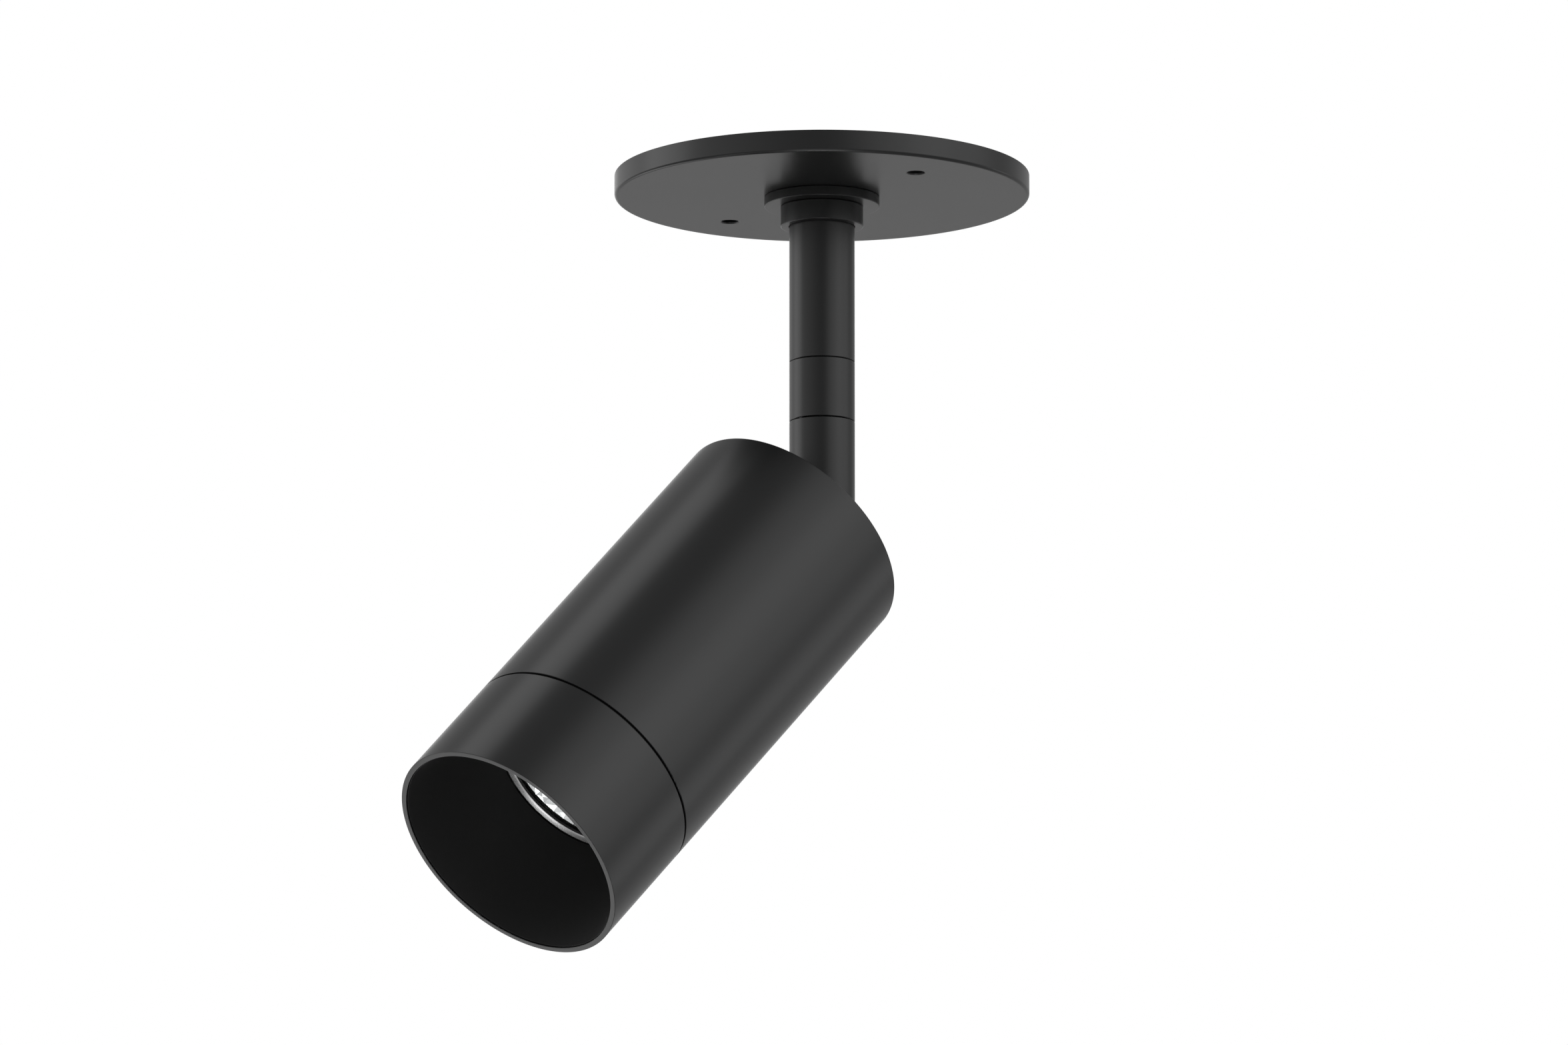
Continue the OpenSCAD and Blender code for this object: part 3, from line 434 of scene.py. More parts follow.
# %% The black finishes
COAT_EFFECTS = [tooth(2600), rings(1500, share=0.35), clouds(18, 0.8, share=0.3)]
COAT = dict(shades=((0.0036, 0.0038, 0.0039), (0.0056, 0.0058, 0.006)), roughness=(0.26, 0.32),
            effects=COAT_EFFECTS, bump=0.0012, IOR=1.42)
stem_coat = finish_of("satin_black_on_stem", **COAT)
head_coat = finish_of("satin_black_on_head", axis=HEAD, **COAT)
dull_black = finish_of(
    "dull_black_spray", ((0.0036, 0.0036, 0.0037), (0.006, 0.006, 0.0062)), (0.5, 0.64),
    [tooth(3500, 1.0), clouds(30, share=0.3)], bump=0.02, axis=HEAD, Specular_IOR_Level=0.35)
black_oxide = finish_of(
    "black_oxide_steel", ((0.012, 0.012, 0.014), (0.03, 0.03, 0.033)), (0.3, 0.5),
    [clouds(900, 1.5)], bump=0.002, Specular_IOR_Level=0.7)
black_rubber = finish_of(
    "black_rubber", ((0.006,) * 3, (0.012,) * 3), (0.5, 0.7), [tooth(5000)], bump=0.004, axis=HEAD)

# %% The bare metals
zinc_plate = finish_of(
    "zinc_plated_steel", ((0.5, 0.51, 0.53), (0.68, 0.69, 0.7)), (0.22, 0.42), [clouds(500, 1.4)],
    bump=0.002, Metallic=1.0)
brass = finish_of(
    "turned_brass", ((0.55, 0.38, 0.14), (0.72, 0.52, 0.22)), (0.2, 0.36),
    [clouds(300, 1.3), rings(4000, share=0.4)], bump=0.002, Metallic=1.0)
spring_steel = finish_of(
    "blued_spring_steel", ((0.2, 0.21, 0.25), (0.34, 0.35, 0.4)), (0.2, 0.34), [clouds(400)],
    Metallic=1.0)
sink_metal = finish_of(
    "extruded_aluminium", ((0.58, 0.58, 0.59), (0.7, 0.7, 0.71)), (0.34, 0.5),
    [rings(3000, 0.7), clouds(60, share=0.4)], bump=0.006, axis=HEAD, Metallic=1.0)
bright_metal = finish_of(
    "bright_satin_aluminium", ((0.43,) * 3, (0.57,) * 3), (0.13, 0.24),
    [tooth(2200, 1.0), rings(5000, 0.3, share=0.3)], bump=0.012, axis=HEAD, Metallic=1.0)
mirror_coat = finish_of(
    "vapour_mirror", ((0.75, 0.75, 0.76), (0.83, 0.83, 0.84)), (0.04, 0.1), [clouds(200)],
    axis=HEAD, Metallic=1.0)

# %% Plastics, board, phosphor and glass
white_case = finish_of(
    "white_moulded_case", ((0.68, 0.68, 0.66), (0.76, 0.76, 0.74)), (0.42, 0.6), [tooth(1800)],
    bump=0.01, axis=HEAD)
white_holder = finish_of(
    "white_holder_plastic", ((0.74, 0.74, 0.73), (0.82, 0.82, 0.81)), (0.35, 0.5), [tooth(2500)],
    bump=0.004, axis=HEAD)
white_board = finish_of(
    "white_solder_mask", ((0.76, 0.77, 0.77), (0.84, 0.85, 0.85)), (0.25, 0.35), [clouds(300)],
    axis=HEAD)
nylon = finish_of(
    "natural_nylon", ((0.68, 0.64, 0.53), (0.78, 0.75, 0.65)), (0.4, 0.55), [tooth(2000)],
    bump=0.003)
earth_green = finish_of(
    "green_lacquered_screw", ((0.03, 0.17, 0.05), (0.05, 0.26, 0.08)), (0.25, 0.42),
    [clouds(700, 1.5)], bump=0.002, Coat_Weight=0.4)
grey_pad = finish_of(
    "grey_thermal_pad", ((0.32, 0.33, 0.34), (0.42, 0.43, 0.44)), (0.6, 0.75), [tooth(4000)],
    bump=0.004, axis=HEAD)
phosphor = finish_of(
    "phosphor_gel", ((0.78, 0.62, 0.08), (0.88, 0.74, 0.16)), (0.3, 0.45), [tooth(6000, 0.8)],
    bump=0.004, axis=HEAD, Subsurface_Weight=0.1)
lens_glass = finish_of(
    "clear_tempered_glass", ((0.97, 0.985, 0.98), (0.985, 0.995, 0.99)), (0.0, 0.02), [clouds(40)],
    axis=HEAD, IOR=1.5, Transmission_Weight=1.0)
print("materials:", len(bpy.data.materials))

# %% [markdown]
# ## Putting a piece in place
#
# A new piece takes over from a part of the frame: that part is hidden, and the piece rides on the
# same body of the real mechanism. A part whose plain shape is already right stays, and only gets
# its material.

# %% Hand a piece over, or keep a part
body_of = {n: b for b, members in frame["record"]["behaviour"]["bodies"].items() for n in members}


def take_over(piece, node, *materials):
    """The piece stands for a frame part, with one material or more."""
    if materials:
        piece.data.materials.clear()
        for material in materials:
            piece.data.materials.append(material)
    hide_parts(node)
    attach(piece, body_of[node])
    print(f"{piece.name}: {len(piece.data.polygons)} faces, stands for {node}")


def settle(piece, node, material, axis=STEM, width=0, segments=3, angle=30):
    """Softens a piece, moves it from the workbench to its axis and hands it over."""
    soften(piece, width, segments, angle)
    take_over(on(piece, axis), node, material)


def keep(node, material):
    """A frame part stays as it is, in its own material."""
    mesh = frame["nodes"][node].data
    mesh.materials.clear()
    mesh.materials.append(material)
    print(f"{node}: kept, in {material.name}")


# %% [markdown]
# ## The canopy
#
# The canopy is a heavy round plate. From the room it is plain, with two fixing holes. Its back has
# a recess for the nut and the earth screw, with a rim that meets the ceiling. One cylinder is
# enough: its lower edge is rounded, its top is inset and pushed down, and two pads are joined on.
# A bevel would stumble over the small facets round a hole, so the fixing holes are cut with a spun
# drill that widens at the bottom and leaves their edges round.

# %% Shape the plate
canopy_low, canopy_top, _, rim_r = reach("canopy_plate")
EDGE, RIM_WIDTH, RECESS_FLOOR = 1.0, 3.0, -3.75
HOLE_X, HOLE_R, HOLE_EDGE, PAD_R, NIPPLE_WAY = 44.45, 2.6, 0.5, 6.5, 5.15

canopy = rod("canopy", rim_r, canopy_low, canopy_top, sides=256)
pick(canopy, lambda face: face.normal.z < -0.9)
bpy.ops.mesh.bevel(offset=EDGE * MM, segments=6, affect="EDGES")
rename("canopy")
pick(canopy, lambda face: face.normal.z > 0.9)
bpy.ops.mesh.inset(thickness=RIM_WIDTH * MM)
bpy.ops.mesh.extrude_region_move(TRANSFORM_OT_translate={"value": (0, 0, RECESS_FLOOR * MM)})
rename("canopy")
bevelled(canopy, 0.25, 3, 60)
for x in (-HOLE_X, HOLE_X):
    pad = rod("pad", PAD_R, (x, 0, RECESS_FLOOR - 1), (x, 0, canopy_top), 96)
    cut(canopy, pad, how="UNION")
cut(canopy, rod("drill", NIPPLE_WAY, -9, 3))
turns = [radians(a) for a in range(0, 85, 14)]
lip = [(HOLE_R + HOLE_EDGE * (1 - cos(t)), canopy_low + HOLE_EDGE * (1 - sin(t))) for t in turns]
drill_shape = [(0, 3), (HOLE_R, 3), *lip, (HOLE_R + HOLE_EDGE + 0.1, -9), (0, -9)]
for x in (-HOLE_X, HOLE_X):
    cut(canopy, on(turned("drill", drill_shape, steps=64), place_at(x, 0, 0)))
settle(canopy, "canopy_plate", stem_coat)

# %% [markdown]
# ## Boss and collar
#
# Two steps lead from the plate to the stem: a wide low boss with a spigot inside the stem, and a
# narrower collar with a set screw at the back. Both are lathe work, so both are spun outlines. The
# set screw's hole is drilled in line through the collar and the stem.

# %% Spin the boss and the collar
boss_low, boss_top, spigot_low = -9.75, canopy_low, -17.75
BOSS_R, PLUG_R, BOSS_BORE, COLLAR_BORE, SCREW_WAY = 17.6, 7.95, 5.05, 10.05, 1.55
boss = turned("boss", [
    (BOSS_BORE, boss_top), (BOSS_R, boss_top), (BOSS_R, boss_low), (PLUG_R, boss_low),
    (PLUG_R, spigot_low + 1), (PLUG_R - 1, spigot_low), (BOSS_BORE, spigot_low)])
settle(boss, "boss_flange", stem_coat, width=0.25)

collar_low, _, _, collar_r = reach("stem_collar")
collar = turned("collar", ring_outline(COLLAR_BORE, collar_r, boss_low, collar_low))
SET_SCREW_Z = (boss_low + collar_low) / 2
bevelled(collar, 0.3)
cut(collar, rod("drill", SCREW_WAY, (0, 8, SET_SCREW_Z), (0, 14, SET_SCREW_Z), 48))
settle(collar, "stem_collar", stem_coat)

# %% [markdown]
# ## Screws and nuts
#
# Most screws here are one of three kinds: a grub screw without a head, a screw with a round socket
# head, or a countersunk one. Their threads are real helices, which the Screw modifier winds from
# one tooth. A kind is modelled once, at the size it is needed, and copied to its other places. The
# earth screw and the bolt of the tilt joint have heads of their own on the same kind of shank.

# %% Wind a thread, and make a socket screw and a grub screw
THREAD_DEPTH = 0.55  # as a share of the pitch


def thread(radius, pitch, low, high, steps=32):
    """A helical thread: one tooth, wound by the Screw modifier, with its root sunk in the shank."""
    root = radius - THREAD_DEPTH * pitch
    sunk = root - 0.15 * pitch
    draw([(sunk, low + 0.05 * pitch), (root, low + 0.05 * pitch), (radius, low + 0.44 * pitch),
          (radius, low + 0.56 * pitch), (root, low + 0.95 * pitch), (sunk, low + 0.95 * pitch),
          (sunk, low + 0.05 * pitch)])
    bpy.ops.mesh.remove_doubles(threshold=SAME_POINT)
    helix = apply_place(rename("thread"))
    wind = helix.modifiers.new("wind", "SCREW")
    wind.axis, wind.angle, wind.screw_offset = "Z", 2 * pi, pitch * MM
    wind.steps = wind.render_steps = steps
    wind.iterations = max(1, int((high - low) / pitch) - 1)
    only(helix)
    bpy.ops.object.modifier_apply(modifier="wind")
    return capped(helix)


def shank(radius, pitch, low, high):
    """A threaded shank from low up to high, with a chamfered tip."""
    root = radius - THREAD_DEPTH * pitch
    core = turned("core", [
        (0, low), (root - 0.3 * radius, low), (root, low + 0.3 * radius), (root, high), (0, high)],
        steps=32)
    return [core, thread(radius, pitch, low + 0.2 * radius, high)]


def socket_screw(name, d, length, pitch=0.5):
    """A round-headed screw: the shank goes down from z = 0 and the head stands above."""
    head_r, head_h = d * 0.9, d * 0.65
    head = turned("head", [
        (0, head_h), (head_r - 0.12 * d, head_h), (head_r, head_h - 0.12 * d), (head_r, 0.04 * d),
        (head_r - 0.04 * d, 0), (0, 0)], steps=64)
    cut(head, rod("key", d * 0.4 / HEX, head_h * 0.4, head_h + 1, 6))
    return soften(joined(name, head, *shank(d / 2, pitch, -length, 0.1)), 0.06 * d, 2, 35)


def grub_screw(name, d, length, key, pitch=0.5):
    """A screw without a head, from z = 0 at its tip up to its socket."""
    body = turned("body", [
        (0, 0), (d / 2 - 0.35, 0), (d / 2 - 0.05, 0.35), (d / 2 - 0.05, length - 0.25),
        (d / 2 - 0.3, length), (0, length)], steps=48)
    cut(body, rod("key", key / 2 / HEX, length - 1.4, length + 1, 6))
    return soften(joined(name, body, thread(d / 2, pitch, 0.4, length - 0.2)))


def copies(name, master, places):
    """One piece made of copies of another, which is used up. Each is moved by a matrix."""
    made = []
    for place in places:
        only(master)
        bpy.ops.object.duplicate(linked=False)
        made.append(on(bpy.context.object, place))
    bpy.data.objects.remove(master)
    return joined(name, *made)


TIP_Y, SOCKET_Y = 8.05, 12.1
set_screw = grub_screw("set_screw", 3.0, SOCKET_Y - TIP_Y, 1.5)
take_over(on(set_screw, place_at(0, TIP_Y, SET_SCREW_Z, -90)), "collar_set_screw", black_oxide)

# %% [markdown]
# ## What the ceiling hides
#
# Behind the canopy a hollow threaded nipple brings the leads in and holds the boss. A jam nut on a
# toothed washer pulls it tight, and a green screw takes the earth lead. Nobody sees them from the
# room, but someone who fits the light does, so the nipple has a thread and the nut its chamfers.

# %% The nipple, its nut and washer, and the earth screw
nipple_low, nipple_top, bore_r, nipple_r = reach("hollow_nipple")
tube = turned("tube", [
    (bore_r, nipple_low), (nipple_r - 0.55, nipple_low), (nipple_r - 0.4, nipple_low + 0.4),
    (nipple_r - 0.4, nipple_top - 0.4), (nipple_r - 0.55, nipple_top), (bore_r, nipple_top)],
    steps=96)
nipple = joined("nipple", tube, thread(nipple_r, 0.9, nipple_low + 0.2, nipple_top - 0.1, 64))
settle(nipple, "hollow_nipple", brass)


def hex_nut(name, flats, hole_r, low, high):
    """A hexagon nut, turned down at its corners on both faces."""
    corner_r, face_r = flats / 2 / HEX, flats / 2 * 0.96
    drop = (corner_r - face_r) * 0.577
    nut = on(rod(name, corner_r, low, high, 6), Matrix.Rotation(radians(30), 4, "Z"))
    blank = turned("blank", [
        (0, low), (face_r, low), (corner_r, low + drop), (corner_r, high - drop), (face_r, high),
        (0, high)], steps=96)
    cut(nut, blank, how="INTERSECT")
    cut(nut, turned("tap", [
        (0, low - 1), (hole_r + 1.4, low - 1), (hole_r, low + 0.4), (hole_r, high - 0.4),
        (hole_r + 1.4, high + 1), (0, high + 1)], steps=64))
    return soften(nut, 0.12, 2, 25)


washer_top = reach("lock_washer")[1]
take_over(hex_nut("jam_nut", 14.0, 5.03, washer_top, nipple_top), "nipple_nut", zinc_plate)

TEETH = 12
toothed = rod("toothed_washer", 8.2, RECESS_FLOOR, washer_top, 96)
cut(toothed, rod("hole", NIPPLE_WAY, -6, 2))
gap = block("gap", (7.0, -0.8, -6), (9, 0.8, 2))
cut(toothed, copies("gaps", gap, [Matrix.Rotation(2 * pi * i / TEETH, 4, "Z") for i in range(TEETH)]))
settle(toothed, "lock_washer", zinc_plate, width=0.06, segments=2)

EARTH_Y, EARTH_FLATS = 30.0, 6.3
earth_head = rod("earth_head", EARTH_FLATS / 2 / HEX, 0.6, 2.6, 6)
blank = turned("blank", [(0, 0), (3.7, 0), (3.7, 2.2), (3.0, 2.6), (0, 2.6)], steps=64)
cut(earth_head, blank, how="INTERSECT")
cut(earth_head, block("slot", (-5, -0.45, 1.7), (5, 0.45, 3.5)))
collar_shape = [(0, 0), (3.9, 0), (4.0, 0.15), (4.0, 0.45), (3.8, 0.6), (0, 0.6)]
earth = joined("earth_screw_green", soften(earth_head, 0.12, 2),
               turned("earth_washer", collar_shape, steps=64), *shank(1.75, 0.6, -1.6, 0.1))
settle(earth, "earth_screw", earth_green, place_at(0, EARTH_Y, RECESS_FLOOR))

# %% [markdown]
# ## The stem and its swivel
#
# The stem is a tube, and the swivel's housing plugs into its lower end. Their joint shows as a hair
# line: the housing has a narrow relief under the tube's edge, so the two never grate. The fork
# turns below, on a spindle that a nut and a spring washer hold up, and a pin in a groove stops it
# before the leads twist.

# %% Spin the tube and the housing, and cut the stop groove
stem_low, _, _, stem_r = reach("stem_tube")
SEAM_EDGE, SEAM_GAP, SEAM_DEPTH, STEM_BORE = 0.15, 0.18, 0.8, 8.0
stem = turned("stem", [
    (STEM_BORE, boss_low), (stem_r, boss_low), (stem_r, stem_low + SEAM_EDGE),
    (stem_r - SEAM_EDGE, stem_low), (STEM_BORE, stem_low)])
cut(stem, rod("drill", SCREW_WAY, (0, 6, SET_SCREW_Z), (0, 12, SET_SCREW_Z), 48))
settle(stem, "stem_tube", stem_coat)

housing_low = reach("swivel_housing")[0]
plug_top = stem_low + 9.0
seam_low = stem_low - SEAM_GAP
SPINDLE_WAY, NUT_WAY, WEB_ANGLE = 4.95, 6.8, 7.2
PIN_TRACK, GROOVE_HALF, GROOVE_DEPTH = 8.0, 0.95, 2.5
housing = turned("swivel", [
    (SPINDLE_WAY, housing_low), (stem_r - SEAM_EDGE, housing_low), (stem_r, housing_low + SEAM_EDGE),
    (stem_r, seam_low - SEAM_EDGE), (stem_r - SEAM_EDGE, seam_low), (stem_r - SEAM_DEPTH, seam_low),
    (stem_r - SEAM_DEPTH, stem_low), (PLUG_R, stem_low), (PLUG_R, plug_top - 1), (7.35, plug_top),
    (NUT_WAY, plug_top), (NUT_WAY, housing_low + 6), (SPINDLE_WAY, housing_low + 6)])
track = ring_outline(PIN_TRACK - GROOVE_HALF, PIN_TRACK + GROOVE_HALF, housing_low - 1,
                     housing_low + GROOVE_DEPTH)
groove = turned("groove", track, steps=120, angle=radians(360 - WEB_ANGLE))
# Spin went clockwise from the X axis, so half a web before +Y puts the web's middle on +Y
cut(housing, on(capped(groove), place_at(0, 0, 0, 90 - WEB_ANGLE / 2, "Z")))
settle(housing, "swivel_housing", stem_coat)

# %% Keep the plain parts of the swivel, and thread its spindle
spindle_low, spindle_top, spindle_bore, spindle_r = reach("swivel_spindle")
tube = turned("tube", [
    (spindle_bore, spindle_low), (spindle_r, spindle_low), (spindle_r, housing_low + 7.5),
    (spindle_r - 0.5, housing_low + 7.9), (spindle_r - 0.5, spindle_top - 0.3),
    (spindle_r - 0.8, spindle_top), (spindle_bore, spindle_top)], steps=96)
wound = thread(spindle_r, 0.75, housing_low + 7.8, spindle_top - 0.1, 64)
settle(joined("spindle", tube, wound), "swivel_spindle", zinc_plate)
nut_low, nut_high = reach("spindle_nut")[:2]
take_over(hex_nut("swivel_nut", 11.2, 4.93, nut_low, nut_high), "spindle_nut", zinc_plate)
for node, material in {"flat_washer": zinc_plate, "spring_washer": spring_steel,
                       "thrust_washer": nylon, "stop_pin": zinc_plate}.items():
    keep(node, material)

# %% [markdown]
# ## The tilt joint
#
# A fork hangs from the spindle and holds a tongue on the head. The fork is a round bar with a round
# end and a slot between two ears. A lathe can't make that, so it is cut from solid with two blocks
# of rounded outline, one to trim the end and one to open the slot, as two milling cutters would.

# %% Mill the fork
fork_low, fork_top = reach("knuckle_fork")[:2]
pivot_z = TILT_AXIS.z / MM
EAR_INNER, POCKET_R, SKIN_X, PIVOT_WAY, LOCK_RISE = 6.0, 7.5, 8.65, 2.05, 5.5


def arc(radius, start, end, steps=24, middle=(0, 0)):
    """Points along an arc, in degrees, from the first axis towards the second."""
    turns = [radians(start + (end - start) * i / steps) for i in range(steps + 1)]
    return [(middle[0] + radius * cos(t), middle[1] + radius * sin(t)) for t in turns]


def across(piece):
    """Turns a shape that was drawn in x and z so that it lies in y and z, at the tilt axis."""
    return on(piece, place_at(0, 0, pivot_z, 90, "Z"))


fork = bevelled(rod("fork", stem_r, fork_low - 1, fork_top, SMOOTH_STEPS), SEAM_EDGE, 4)
end_r = stem_r + 0.01
end_shape = across(extruded("end", arc(end_r, -180, 0, 48) + [(end_r, 30), (-end_r, 30)], 24))
pocket_shape = [(-12, -12), (POCKET_R, -12), *arc(POCKET_R, 0, 90), (-12, POCKET_R)]
cut(fork, end_shape, how="INTERSECT")
cut(fork, across(extruded("pocket", pocket_shape, 2 * EAR_INNER)))
cut(fork, rod("seat", SPINDLE_WAY, fork_top - 8, fork_top + 2),
    rod("wire_way", 3.2, pivot_z, fork_top + 2),
    rod("pin_seat", 0.8, (0, -PIN_TRACK, fork_top - 3.05), (0, -PIN_TRACK, fork_top + 2), 32),
    rod("pivot_way", PIVOT_WAY, (-12, 0, pivot_z), (SKIN_X, 0, pivot_z), 48),
    rod("head_seat", 3.65, (-12, 0, pivot_z), (-7.6, 0, pivot_z)),
    rod("lock_way", 1.3, (-12, 0, pivot_z + LOCK_RISE), (-1, 0, pivot_z + LOCK_RISE), 32))
settle(fork, "knuckle_fork", stem_coat, width=0.22, angle=35)

# %% Cut the tongue, with its flare, its foot and its way for the leads
foot_start, foot_end = 16.95, reach("hinge_tongue", HEAD)[1]
TONGUE_R, TONGUE_HALF, FOOT_R, CHANNEL_HALF = 7.0, 5.4, 15.0, 2.5
FLARE_X, flare_z = 11, foot_start + 0.5
side_view = [*arc(TONGUE_R, -180, 0, 40), (TONGUE_R, 11), (FLARE_X, flare_z), (-FLARE_X, flare_z),
             (-TONGUE_R, 11)]
tongue = on(extruded("tongue", side_view, 2 * TONGUE_HALF), Matrix.Rotation(pi / 2, 4, "Z"))
foot = turned("foot", [
    (0, foot_start), (FOOT_R - 0.8, foot_start), (FOOT_R, foot_start + 0.8), (FOOT_R, foot_end),
    (0, foot_end)], steps=128)
cut(tongue, foot, how="UNION")
cut(tongue, rod("pivot_way", PIVOT_WAY, (-12, 0, 0), (12, 0, 0), 48),
    block("lead_way", (-CHANNEL_HALF, -4.4, -4.4), (CHANNEL_HALF, 12, 4.4)),
    block("lead_way", (-CHANNEL_HALF, -4.4, 0), (CHANNEL_HALF, 4.4, 24)))
FOOT_SCREW_X = (TONGUE_HALF + FOOT_R) / 2
for x in (-FOOT_SCREW_X, FOOT_SCREW_X):
    cut(tongue, rod("clearance", 1.65, (x, 0, 10), (x, 0, 24), 40))
settle(tongue, "hinge_tongue", head_coat, HEAD, 0.25, angle=35)

# %% The pivot bolt, the lock screw, the washers and the foot screws
bolt_head = turned("bolt_head", [
    (0, 9.25), (3.1, 9.25), (3.5, 8.85), (3.5, 7.7), (3.45, 7.65), (0, 7.65)], steps=64)
cut(bolt_head, rod("key", 1.4 / HEX, 8.25, 10, 6))
shoulder = turned("shoulder", [(0, -6.2), (1.6, -6.2), (2.0, -5.8), (2.0, 7.7), (0, 7.7)], steps=48)
bolt = joined("tilt_bolt", bolt_head, shoulder, *shank(2.0, 0.5, -8.6, -6.1))
settle(bolt, "pivot_bolt", black_oxide, place_at(0, 0, pivot_z, -90, "Y"))

LOCK_TIP, LOCK_SOCKET = 5.45, 9.3
lock = grub_screw("lock_screw", 2.5, LOCK_SOCKET - LOCK_TIP, 1.3, 0.45)
on(lock, place_at(-LOCK_TIP, 0, pivot_z + LOCK_RISE, -90, "Y"))
take_over(lock, "tilt_lock_screw", black_oxide)
keep("friction_washers", nylon)


def screws_in_head(name, screw, spots, z, node, material=zinc_plate, turn=180):
    """Puts a screw in its [x, y] spots in the head. It points forwards, or back without a turn."""
    screws = copies(name, screw, [HEAD @ place_at(x, y, z, turn) for x, y in spots])
    take_over(screws, node, material)


def both_sides(x):
    """Two spots, left and right of the head's axis."""
    return (-x, 0), (x, 0)


m3 = socket_screw("m3", 3.0, 5.7)
screws_in_head("foot_screws_m3", m3, both_sides(FOOT_SCREW_X), foot_start, "foot_screws")

# %% [markdown]
# ## The head
#
# The head is one long tube and a short one, with a dark seam between them where the snoot slides
# over its ring. All are spun from outlines drawn along the head's own axis, forwards from the tilt
# joint. Their rims are rounded a little, because that thin bright line says that metal ends here.

# %% Spin the barrel and drill the rear cap
barrel_start, barrel_end, lip_r, head_r = reach("barrel", HEAD)
HEAD_WALL = 2.0
BORE_R = head_r - HEAD_WALL
cap_start, cap_end, _, cap_r = reach("rear_cap", HEAD)
barrel = turned("barrel_tube", [
    (lip_r, barrel_start), (head_r, barrel_start), (head_r, barrel_end), (BORE_R, barrel_end),
    (BORE_R, cap_start), (lip_r, cap_start)], steps=256)
settle(barrel, "barrel", head_coat, HEAD, 0.2)

TIE_R, TIE_TURNS = 30.0, [radians(a) for a in (270, 150, 30)]
tie_spots = [(TIE_R * cos(t), TIE_R * sin(t)) for t in TIE_TURNS]
cap = bevelled(rod("rear_disc", cap_r, cap_start, cap_end, 256), 0.2, 2)
cut(cap, rod("lead_hole", 4.5, 10, 30))
sink_shape = [(0, cap_start - 1), (3.15, cap_start - 1), (3.15, cap_start), (1.65, cap_start + 1.7),
              (1.65, cap_end + 1), (0, cap_end + 1)]
for x, y in tie_spots:
    cut(cap, on(turned("sink", sink_shape, steps=48), place_at(x, y, 0)))
for x in (-FOOT_SCREW_X, FOOT_SCREW_X):
    cut(cap, rod("tapped", SCREW_WAY, (x, 0, 10), (x, 0, 30), 40))
settle(cap, "rear_cap", head_coat, HEAD)

# %% The countersunk screws of the rear cap
cone = turned("cone", [(0, -1.7), (1.5, -1.7), (2.95, -0.1), (3.0, 0), (0, 0)], steps=64)
cut(cone, rod("key", 1.0 / HEX, -1.0, 1.0, 6))
countersunk = joined("countersunk", cone, *shank(1.5, 0.5, -8.0, -1.6))
screws_in_head("cap_screws_m3", soften(countersunk), tie_spots, cap_start, "rear_cap_screws",
               black_oxide)

# %% Spin the front ring, the snoot and the baffle
ring_start, ring_end, ring_r, _ = reach("front_ring", HEAD)
snoot_start, snoot_end, snoot_bore, _ = reach("snoot_shell", HEAD)
SPIGOT_R, GROOVE_R, GROOVE_MID = 36.2, 34.6, snoot_start + 4.475
front_ring = turned("front_ring_black", [
    (ring_r, ring_start), (BORE_R - 0.05, ring_start), (BORE_R - 0.05, barrel_end),
    (head_r - 0.8, barrel_end), (head_r - 0.8, snoot_start), (SPIGOT_R, snoot_start),
    (SPIGOT_R, GROOVE_MID - 0.9), (GROOVE_R, GROOVE_MID - 0.9), (GROOVE_R, GROOVE_MID + 0.9),
    (SPIGOT_R, GROOVE_MID + 0.9), (SPIGOT_R, ring_end - 0.6), (SPIGOT_R - 0.6, ring_end),
    (ring_r, ring_end)])
settle(front_ring, "front_ring", dull_black, HEAD, 0.12, 2)

snoot = turned("snoot", ring_outline(snoot_bore, head_r, snoot_start, snoot_end), steps=256)
settle(snoot, "snoot_shell", head_coat, HEAD, 0.15)

baffle_start, baffle_end, throat_r, land_r = reach("baffle_cone", HEAD)
MOUTH_R, BOW, WALL, LAND = land_r - 0.2, 0.8, 1.2, 5.0
shares = [i / 24 for i in range(25)]
inside = [(throat_r + (MOUTH_R - throat_r) * s + BOW * sin(pi * s),
           baffle_start + (baffle_end - baffle_start) * s) for s in shares]
outside = [(land_r, baffle_end), (land_r, baffle_end - LAND), (throat_r + WALL, baffle_start)]
baffle = turned("baffle", inside + outside, steps=256)
settle(baffle, "baffle_cone", dull_black, HEAD, 0.1, 2)

# %% [markdown]
# ## The optic
#
# Deep in the snoot a bright ring frames the lens. Its front is a shallow dish that falls inwards
# to a thin edge at the window, and the slope gives it bright and dark stretches. Behind the glass
# sits a mirror bowl that flares at its mouth. Flat facets break the light up into sparks, which a
# smooth bowl can't do, so the bowl is spun with few steps, each face is raised to a low pyramid,
# and it stays flat shaded.

# %% Spin the bezel, the gasket and the lens
bezel_start, bezel_end, window_r, bezel_r = reach("lens_bezel", HEAD)
INNER_R, LIP, DISH, SLOPE, BEND = 27.3, 0.85, 2.4, 0.32, 0.01
edge_r = window_r + 0.45
dish = [(edge_r + DISH - x, bezel_end - SLOPE * x - BEND * x**2) for x in (0, 0.6, 1.2, 1.8, DISH)]
bezel = turned("bezel", [
    (edge_r, bezel_end - LIP), (INNER_R, bezel_end - LIP), (INNER_R, bezel_start),
    (bezel_r, bezel_start), (bezel_r, bezel_end - 0.3), (bezel_r - 0.3, bezel_end), *dish],
    steps=256)
settle(bezel, "lens_bezel", bright_metal, HEAD, 0.03, 2, 50)

gasket_start, gasket_end, gasket_in, gasket_out = reach("lens_gasket", HEAD)
gasket = turned("gasket", ring_outline(gasket_in + 0.85, gasket_out, gasket_start, gasket_end))
settle(gasket, "lens_gasket", black_rubber, HEAD, 0.1)

